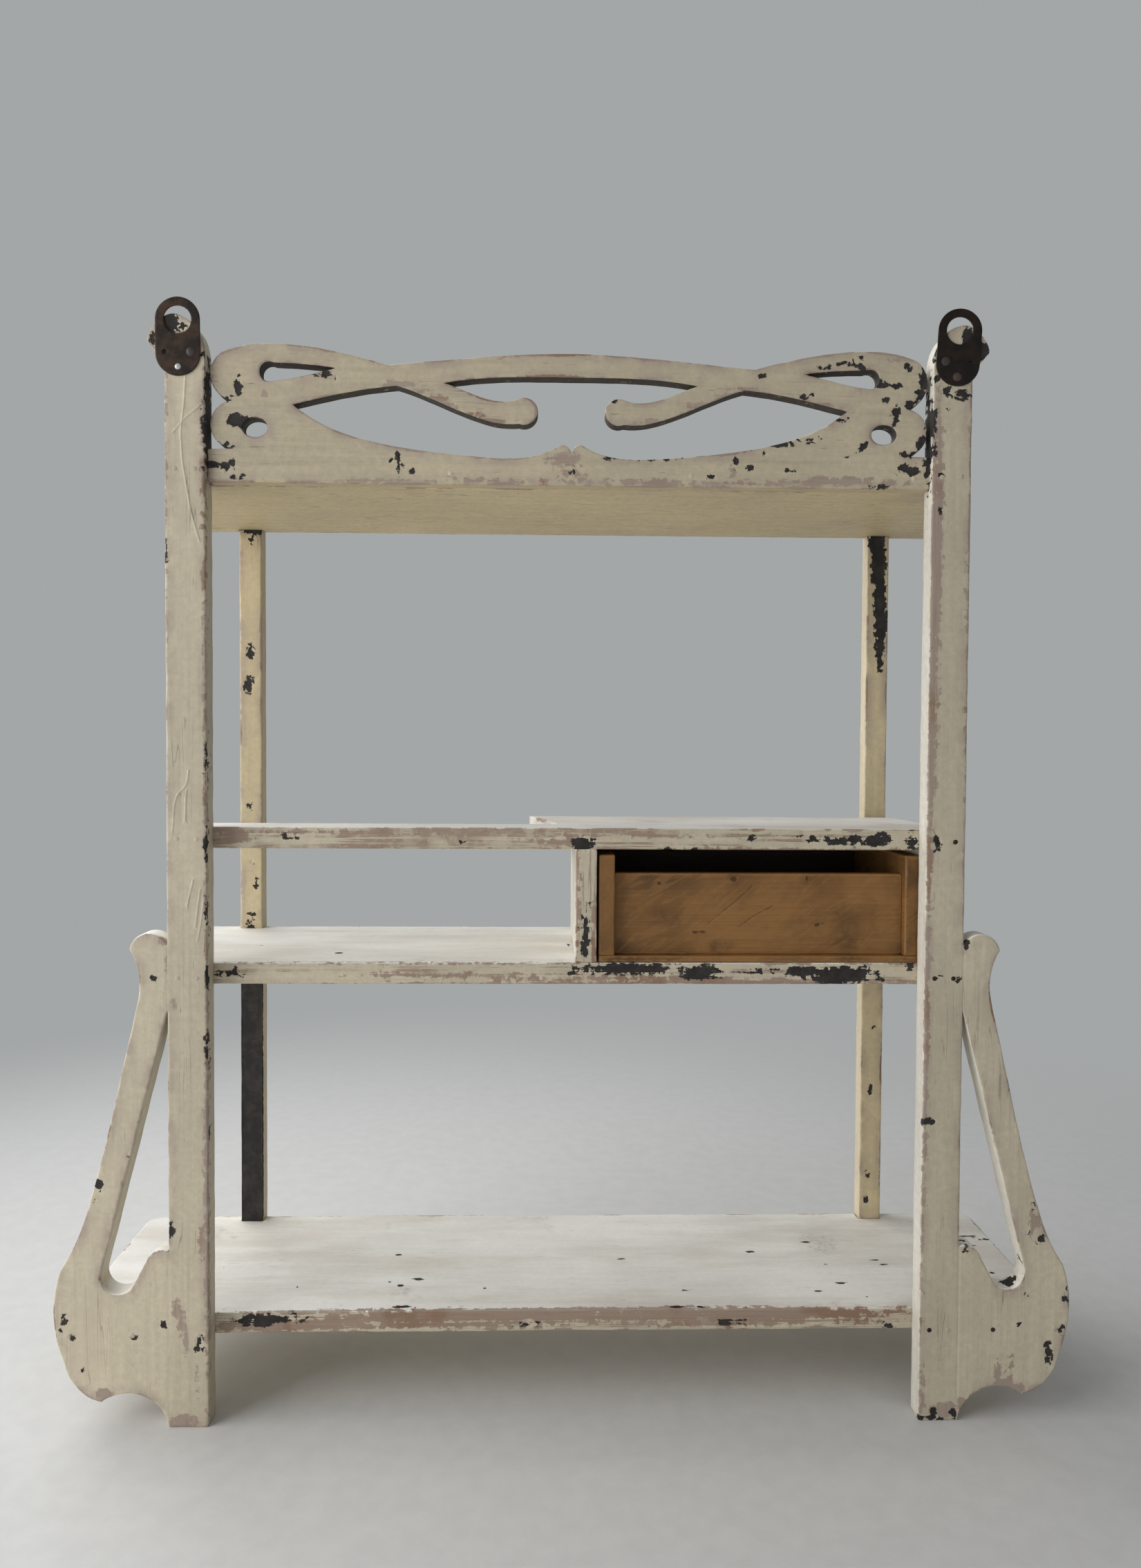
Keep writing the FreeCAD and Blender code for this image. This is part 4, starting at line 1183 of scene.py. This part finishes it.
def bare_wood(name, grain, colours, light=1.0):
    """Unpainted brown board: soft figure, slanting flame, fibres, pores, stains, pale edges."""
    look = Recipe(bpy.data.materials.new(name))
    flame_place = look.stretched((24.0, 24.0, 120.0), (0.3, 0.1, 0.7), (0.0, 0.6, 0.0))
    figure = look.grained(grain, 5.0, 22.0, 4.0, 0.55, distortion=1.4)
    flame = look.noise(1.0, 3.0, 0.5, flame_place, 1.2)
    cloud = look.noise(13.0, 5.0, 0.62)
    stain = look.shifted(24.0, 5.0, 0.62, (4.0, 1.0, 2.0))
    fibre = look.grained(grain, 16.0, 800.0, 4.0, 0.6)
    pore = look.grained(grain, 55.0, 1500.0, 2.0, 0.5, (2.0, 5.0, 3.0))
    rag = look.noise(240.0, 4.0, 0.6)
    # light scales the wood's colour: below 1 it paints shade on a board that stands in shadow.
    base = [light * c for c in colours.drawer_wood]
    dark = [0.48 * c for c in base]
    pale = [1.58 * base[0], 1.62 * base[1], 1.66 * base[2]]
    spot = look.plus(look.kept("chip"), look.swing(rag, 5.0))
    scored = look.step(look.kept("ridge"), 0.66, 0.97, 0.0, 0.6)
    scored = look.times(scored, look.step(rag, 0.36, 0.56))
    rubbed = look.minus(look.kept("edge"), look.step(rag, 0.3, 0.7, 0.0, 1.8))
    rubbed = look.times(look.step(rubbed, 0.9, -0.2), 0.6)
    wood = rgba(base)
    for share, colour in (
        (look.step(figure, 0.42, 0.62, 0.0, 0.85), rgba(dark)),
        (look.step(flame, 0.50, 0.60, 0.0, 0.40), rgba(pale)),
        (look.step(cloud, 0.40, 0.64, 0.0, 0.75), rgba(pale)),
        (look.step(fibre, 0.35, 0.72, 0.0, 0.22), rgba(dark)),
        (look.step(stain, 0.58, 0.74, 0.0, 0.55), rgba(dark, 0.6)),
        (look.step(pore, 0.68, 0.76, 0.0, 0.6), rgba(dark, 0.3)),
        (look.step(spot, -0.3, 0.7, 0.0, 0.75), rgba(dark, 0.3)),
        (scored, rgba(dark, 0.4)),
        (rubbed, rgba(pale)),
    ):
        wood = look.mix(share, wood, colour)
    height = look.plus(look.times(fibre, 0.4), look.times(figure, 0.4))
    height = look.minus(height, look.step(pore, 0.66, 0.76, 0.0, 0.5))
    roughness = look.step(fibre, 0.2, 0.8, 0.50, 0.70)
    return look.finish(wood, roughness, height, 0.0004, 0.5, shine=0.35)


def rusty_iron(name, colours, painted_highlight=0.0, shade=1.0):
    """Dark iron with brown rust and pits, rubbed to a brighter grey in specks, and greyed all over
    by the highlight value as a painted highlight.
    """
    look = Recipe(bpy.data.materials.new(name))
    cloud = look.noise(75.0, 5.0, 0.6)
    pit = look.noise(420.0, 4.0, 0.6)
    speck = look.noise(900.0, 2.0, 0.5)
    # shade scales the whole iron's colour: below 1 it paints shade.
    iron, rust = rgba(colours.iron, shade), rgba(colours.rust, shade)
    colour = look.mix(look.step(cloud, 0.40, 0.66), iron, rust)
    pitted = look.step(pit, 0.55, 0.75, 0.0, 0.6)
    colour = look.mix(pitted, colour, rgba(colours.iron, 0.35 * shade))
    grey = rgba((0.16 * shade + 0.5 * painted_highlight,) * 3)
    colour = look.mix(look.step(speck, 0.62, 0.80, painted_highlight, 0.3 + 0.6 * painted_highlight), colour, grey)
    height = look.plus(look.times(cloud, 0.6), look.times(pit, 0.5))
    roughness = look.step(cloud, 0.35, 0.7, 0.42 - 0.2 * painted_highlight, 0.62 - 0.2 * painted_highlight)
    return look.finish(colour, roughness, height, 0.0004, 0.45, metallic=0.35, shine=0.25)


class BoardMaker:
    """Shared work of the operators: boards that stand for CAD nodes."""

    def shape(self, context, name, axis, rounding=None, fine=1.0, loops=None, span=None):
        """Points, faces and kept values of one worn board."""
        sizes = context.scene.shelf_sizes
        return board_surface(
            name,
            axis,
            (sizes.edge_round if rounding is None else rounding) / MM,
            fine * sizes.corner_round / MM,
            fine * sizes.outline_step / MM,
            fine * sizes.face_step / MM,
            loops,
            span,
        )

    def fit(self, name, shape, material, slot="worn_paint", body="carcass"):
        """Piece made of a shape in place of a CAD node."""
        piece = make_piece(f"{name}_board", *shape, material)
        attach(piece, body)
        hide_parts(name)
        return piece

    def lay_board(
        self, context, name, axis, material, slot="worn_paint", body="carcass", rounding=None
    ):
        """Worn board in place of a CAD node."""
        self.fit(name, self.shape(context, name, axis, rounding), material, slot, body)


class SHELF_OT_side_boards(bpy.types.Operator, BoardMaker):
    """Make the two posts and their scrolled wings."""

    bl_idname = "wall_shelf.side_boards"
    bl_label = "Posts and wings"

    def execute(self, context):
        colours = context.scene.shelf_colours
        post_paint = worn_paint("post_paint", Z, colours, rubbed=0.85)
        # The wings' paint is 8% lighter than the posts': partly a paler coat, partly painted light
        # where the wings stand clear of shade.
        wing_paint = worn_paint("wing_paint", Z, colours, rubbed=0.85, shade=1.08)
        for name in ("left_post", "right_post"):
            self.lay_board(context, name, Y, post_paint)
        for name in ("left_wing", "right_wing"):
            self.lay_board(context, name, Y, wing_paint)
        return {"FINISHED"}


class SHELF_OT_crest(bpy.types.Operator, BoardMaker):
    """Make the pierced crest."""

    bl_idname = "wall_shelf.crest"
    bl_label = "Crest"

    def execute(self, context):
        # shade=0.9 darkens the crest's paint: painted shade, as the upper parts stand in less
        # light.
        paint = worn_paint(
            "crest_paint", X, context.scene.shelf_colours,
            warmth=0.14, rubbed=0.9, dark_walls=0.97, rub_least=-0.5, shade=0.9,
        )
        self.lay_board(context, "crest", Y, paint, rounding=context.scene.shelf_sizes.crest_round)
        return {"FINISHED"}


class SHELF_OT_shelves(bpy.types.Operator, BoardMaker):
    """Make the four shelves."""

    bl_idname = "wall_shelf.shelves"
    bl_label = "Shelves"

    def execute(self, context):
        colours = context.scene.shelf_colours
        paint = worn_paint("shelf_paint", X, colours, rubbed=1.1, chipped=0.3, streaked=0.9)
        for name in SHELVES:
            self.lay_board(context, name, Z, paint)
        return {"FINISHED"}


class SHELF_OT_uprights(bpy.types.Operator, BoardMaker):
    """Make the front posts, the divider and the end panel."""

    bl_idname = "wall_shelf.uprights"
    bl_label = "Uprights"

    def execute(self, context):
        colours = context.scene.shelf_colours
        warm = worn_paint("front_post_paint", Z, colours, warmth=0.55, rubbed=0.8)
        plain = worn_paint("upright_paint", Z, colours, rubbed=1.2, chipped=0.3, streaked=0.8)
        for name in ("front_post_left", "front_post_right"):
            self.lay_board(context, name, Y, warm)
        for name in ("divider", "end_panel"):
            self.lay_board(context, name, X, plain)
        return {"FINISHED"}


class SHELF_OT_drawer(bpy.types.Operator, BoardMaker):
    """Make the drawer's box and its painted front."""

    bl_idname = "wall_shelf.drawer"
    bl_label = "Drawer"

    def execute(self, context):
        colours = context.scene.shelf_colours
        rounding = context.scene.shelf_sizes.drawer_round
        # The sides' wood is darkened to 0.86 of the back's: painted shade in the drawer's recess.
        side = bare_wood("drawer_side_wood", Y, colours, 0.86)
        across = bare_wood("drawer_back_wood", X, colours)
        paint = worn_paint("drawer_paint", X, colours, rubbed=0.8)
        for name in ("drawer_left_side", "drawer_right_side"):
            self.lay_board(context, name, X, side, "bare_wood", "drawer")
        for name, axis in (("drawer_bottom", Z), ("drawer_back", Y)):
            self.lay_board(context, name, axis, across, "bare_wood", "drawer", rounding)
        front = self.fit("drawer_front", self.lapped_front(context), paint, body="drawer").data
        # The front's inner faces get wood darkened to 0.12: painted shade for the drawer's dark
        # inside.
        front.materials.append(bare_wood("drawer_inside_wood", X, colours, 0.12))
        middles = np.empty(len(front.polygons) * 3)
        front.polygons.foreach_get("center", middles)
        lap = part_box("drawer_left_side")[1][Y]
        inner = middles.reshape(-1, 3)[:, Y] < lap - LAP_ROOM
        front.polygons.foreach_set("material_index", inner.astype(np.int32))
        return {"FINISHED"}

    def lapped_front(self, context):
        """Face board with a narrower board behind it that fits between the drawer's sides."""
        left_low, left_high = box_mm("drawer_left_side")
        right_low, _ = box_mm("drawer_right_side")
        front_low, front_high = box_mm("drawer_front")
        lap = left_high[Y]
        foot, head = left_low[Z], left_high[Z]
        near, far = left_high[X], right_low[X]
        inner = np.array([(foot, near), (head, near), (head, far), (foot, far)])
        face = self.shape(context, "drawer_front", Y, span=(lap, front_high[Y]))
        tongue = self.shape(context, "drawer_front", Y, loops=[inner], span=(front_low[Y], lap))
        points = np.concatenate([face[0], tongue[0]])
        faces = face[1] + [group + len(face[0]) for group in tongue[1]]
        values = {label: np.concatenate([face[2][label], tongue[2][label]]) for label in face[2]}
        return points, faces, values


class SHELF_OT_knob(bpy.types.Operator):
    """Make the drawer's turned knob."""

    bl_idname = "wall_shelf.knob"
    bl_label = "Drawer knob"

    def execute(self, context):
        low, high = box_mm("drawer_knob")
        middle = (low + high) / 2
        reach = np.array([(high[X] - low[X]) / 2, high[Y] - low[Y]])
        profile = rounded_profile(np.array(KNOB_PROFILE) * reach, KNOB_ROUNDINGS)
        points, quads, caps = turned_surface(profile, KNOB_PARTS, Y)
        points += (middle[X], low[Y], middle[Z])
        values = even_values(len(points))
        girth = np.clip(profile[:, 0] / reach[0], 0, 1)
        values["edge"] = np.repeat(6.0 - 5.0 * girth**6, KNOB_PARTS)
        paint = worn_paint("knob_paint", Y, context.scene.shelf_colours, rubbed=0.9)
        knob = make_piece("drawer_knob_turned", points, [quads, caps], values, paint)
        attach(knob, "drawer")
        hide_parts("drawer_knob")
        return {"FINISHED"}


class SHELF_OT_hanger_plates(bpy.types.Operator, BoardMaker):
    """Make the two iron hanger plates."""

    bl_idname = "wall_shelf.hanger_plates"
    bl_label = "Hanger plates"

    def execute(self, context):
        sizes = context.scene.shelf_sizes
        # The right plate's iron is darkened to 0.4 of the left's: partly darker iron, partly
        # painted shade.
        for name, shade in (("hanger_plate_left", 1.0), ("hanger_plate_right", 0.4)):
            iron = rusty_iron(f"{name}_iron", context.scene.shelf_colours, shade=shade)
            low, high = box_mm(name)
            span = (low[Y] + sizes.plate_nail_dome / MM, high[Y])
            shape = self.shape(context, name, Y, sizes.iron_round, 0.35, span=span)
            self.fit(name, shape, iron, "hanger_iron")
        return {"FINISHED"}


class SHELF_OT_nails(bpy.types.Operator):
    """Drive the nails of the shelves, crest, hangers and drawer."""

    bl_idname = "wall_shelf.nails"
    bl_label = "Nails"

    def execute(self, context):
        colours = context.scene.shelf_colours
        sizes = context.scene.shelf_sizes
        dark = rusty_iron("nail_iron", colours)
        painted = worn_paint("nail_paint", Z, colours, rubbed=0.9)
        flat = np.array(FLAT_HEAD) * (sizes.nail_radius / MM, 1.0)
        places = np.array(self.shelf_places())
        away = np.linalg.norm(places[:, None, [X, Z]] - np.array(RUSTY_NAILS), axis=2).min(axis=1)
        rusty, covered = places[away < RUSTY_REACH], places[away >= RUSTY_REACH]
        self.drive("shelf_nails_rusty", rusty, flat, Y, dark, "carcass")
        self.drive("shelf_nails_painted", covered, flat, Y, painted, "carcass", "worn_paint")
        self.drive("crest_nails", self.crest_places(), flat, Y, painted, "carcass", "worn_paint")
        dome, big = sizes.plate_nail_dome / MM, sizes.plate_nail_radius / MM
        domed = np.concatenate([np.array(DOMED_HEAD) * (big, dome), [(big, DOMED_FOOT)]])
        face = box_mm("hanger_plate_left")[0][Y] + dome
        for name, painted_highlight, share, places in PLATE_NAILS:
            iron = rusty_iron(f"{name}_iron", colours, painted_highlight)
            centres = [(x, face, z) for x, z in places]
            self.drive(name, centres, domed * (share, 1.0), Y, iron, "carcass")
        left, right = self.drawer_places()
        self.drive("drawer_nails_left", left, flat, X, dark, "drawer")
        self.drive("drawer_nails_right", right, flat[::-1] * (1.0, -1.0), X, dark, "drawer")
        return {"FINISHED"}

    def drive(self, name, places, profile, axis, material, body, slot="hanger_iron"):
        """Row of like nails as one piece."""
        points, faces = nail_row(places, profile, axis)
        row = make_piece(name, points, faces, even_values(len(points)), material)
        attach(row, body)

    def shelf_places(self):
        """Two nails through each post into each shelf, two through each wing into the lowest."""
        post = box_mm("right_post")[0]
        in_post = [post[X] + NAIL_INSET, post[X] + POST_WIDTH - NAIL_INSET]
        in_wing = [post[X] + POST_WIDTH + reach for reach in WING_NAILS]
        places = []
        for name in SHELVES:
            low, high = box_mm(name)
            across = in_post + (in_wing if name == "bottom_shelf" else [])
            height = (low[Z] + high[Z]) / 2
            places += [(side * x, post[Y], height) for x in across for side in (-1, 1)]
        return places

    def crest_places(self):
        """Four nails through the crest's lower band into the top shelf."""
        low, high = box_mm("crest")
        height = low[Z] + CREST_NAIL_RISE
        across = (high[X] / 3, high[X] - CREST_NAIL_INSET)
        return [(side * x, low[Y], height) for x in across for side in (-1, 1)]

    def drawer_places(self):
        """Two nails through each drawer side into the back, two into the front's tongue."""
        back_low, back_high = box_mm("drawer_back")
        left = box_mm("drawer_left_side")[0][X]
        side_high = box_mm("drawer_right_side")[1]
        lines = ((back_low[Y] + back_high[Y]) / 2, side_high[Y] - TONGUE_NAIL_INSET)
        heights = back_low[Z] + (back_high[Z] - back_low[Z]) * np.array([0.25, 0.75])
        spots = [(y, z) for y in lines for z in heights]
        return [(left, y, z) for y, z in spots], [(side_high[X], y, z) for y, z in spots]


class SHELF_OT_stage(bpy.types.Operator):
    """Set the floor, the soft light, the backdrop and the camera."""

    bl_idname = "wall_shelf.stage"
    bl_label = "Stage"

    def execute(self, context):
        colours = context.scene.shelf_colours
        self.lay_floor(colours)
        self.light_world(context, colours)
        for lamp in LAMPS:
            self.hang_lamp(*lamp)
        self.set_camera(context)
        view = context.scene.view_settings
        view.view_transform = "Standard"
        return {"FINISHED"}

    def lay_floor(self, colours):
        """Round floor of rings about the middle that fades into the backdrop far away."""
        look = Recipe(bpy.data.materials.new("pale_floor"))
        grain = look.step(look.noise(60.0, 4.0, 0.6), 0.3, 0.7)
        colour = look.mix(grain, rgba(colours.floor, 0.97), rgba(colours.floor, 1.02))
        values = {"Base Color": colour, "Roughness": 0.85}
        ground = look.node("ShaderNodeBsdfPrincipled", values).outputs[0]
        flat = look.stretched((1, 1, 0))
        distance = look.node("ShaderNodeVectorMath", {0: flat}, operation="LENGTH").outputs["Value"]
        values = {"Color": rgba(colours.backdrop), "Strength": 1.0}
        haze = look.node("ShaderNodeEmission", values).outputs[0]
        fade = look.times(look.step(distance, *FLOOR_FADE), look.looked_at())
        blend = look.node("ShaderNodeMixShader", {0: fade, 1: ground, 2: haze}).outputs[0]
        look.node("ShaderNodeOutputMaterial", {"Surface": blend})
        profile = [(radius / MM, FLOOR_Z / MM) for radius in FLOOR_RINGS]
        points, quads, caps = turned_surface(profile, FLOOR_PARTS, Z)
        floor = make_piece("floor", points, [quads, caps[1:]], {}, look.owner)

    def light_world(self, context, colours):
        """Even grey light all round, and the backdrop colour where the camera or a mirror looks."""
        world = bpy.data.worlds.new("studio")
        context.scene.world = world
        look = Recipe(world)
        values = {"Color": rgba(colours.world_light), "Strength": WORLD_STRENGTH}
        light = look.node("ShaderNodeBackground", values).outputs[0]
        values = {"Color": rgba(colours.backdrop), "Strength": 1.0}
        backdrop = look.node("ShaderNodeBackground", values).outputs[0]
        values = {0: look.looked_at(), 1: light, 2: backdrop}
        blend = look.node("ShaderNodeMixShader", values).outputs[0]
        look.node("ShaderNodeOutputWorld", {0: blend})

    def hang_lamp(self, name, place, target, size, power):
        """Soft area lamp that looks at a target."""
        lamp = bpy.data.lights.new(name, "AREA")
        lamp.shape = "RECTANGLE"
        lamp.size, lamp.size_y = size
        lamp.energy = power
        hung = bpy.data.objects.new(name, lamp)
        hung.location = place
        hung.rotation_euler = (Vector(target) - Vector(place)).to_track_quat("-Z", "Y").to_euler()
        bpy.context.scene.collection.objects.link(hung)

    def set_camera(self, context):
        """Camera turned by yaw, pitch and roll from a level look along Y."""
        seat = context.scene.shelf_camera
        forward = Vector((
            math.sin(seat.yaw) * math.cos(seat.pitch),
            math.cos(seat.yaw) * math.cos(seat.pitch),
            math.sin(seat.pitch),
        ))
        level = Vector((math.cos(seat.yaw), -math.sin(seat.yaw), 0.0))
        upright = level.cross(forward)
        right = level * math.cos(seat.roll) + upright * math.sin(seat.roll)
        up = upright * math.cos(seat.roll) - level * math.sin(seat.roll)
        lens = bpy.data.cameras.new("camera")
        lens.sensor_fit = "VERTICAL"
        lens.sensor_height = SENSOR_HEIGHT
        lens.sensor_width = SENSOR_HEIGHT
        lens.lens = seat.lens
        lens.clip_start = 0.01
        camera = bpy.data.objects.new("camera", lens)
        turned = Matrix((right, up, -forward)).transposed().to_4x4()
        camera.matrix_world = Matrix.Translation(seat.place) @ turned
        bpy.context.scene.collection.objects.link(camera)
        context.scene.camera = camera


OPERATORS = (
    SHELF_OT_side_boards,
    SHELF_OT_crest,
    SHELF_OT_shelves,
    SHELF_OT_uprights,
    SHELF_OT_drawer,
    SHELF_OT_knob,
    SHELF_OT_hanger_plates,
    SHELF_OT_nails,
    SHELF_OT_stage,
)


class SHELF_PT_panel(bpy.types.Panel):
    """Steps that dress the wall shelf."""

    bl_idname = "SHELF_PT_panel"
    bl_label = "Wall Shelf"
    bl_space_type = "VIEW_3D"
    bl_region_type = "UI"
    bl_category = "Wall Shelf"

    def draw(self, context):
        for operator in OPERATORS:
            self.layout.operator(operator.bl_idname)


GROUPS = (
    ("shelf_sizes", ShelfSizes),
    ("shelf_colours", ShelfColours),
    ("shelf_camera", ShelfCamera),
)


def register():
    for label, group in GROUPS:
        bpy.utils.register_class(group)
        setattr(bpy.types.Scene, label, PointerProperty(type=group))
    for operator in OPERATORS:
        bpy.utils.register_class(operator)
    bpy.utils.register_class(SHELF_PT_panel)


def unregister():
    bpy.utils.unregister_class(SHELF_PT_panel)
    for operator in reversed(OPERATORS):
        bpy.utils.unregister_class(operator)
    for label, group in reversed(GROUPS):
        delattr(bpy.types.Scene, label)
        bpy.utils.unregister_class(group)


def main():
    register()
    bpy.ops.wall_shelf.side_boards()
    bpy.ops.wall_shelf.crest()
    bpy.ops.wall_shelf.shelves()
    bpy.ops.wall_shelf.uprights()
    bpy.ops.wall_shelf.drawer()
    bpy.ops.wall_shelf.knob()
    bpy.ops.wall_shelf.hanger_plates()
    bpy.ops.wall_shelf.nails()
    bpy.ops.wall_shelf.stage()


if __name__ == "__main__":
    main()
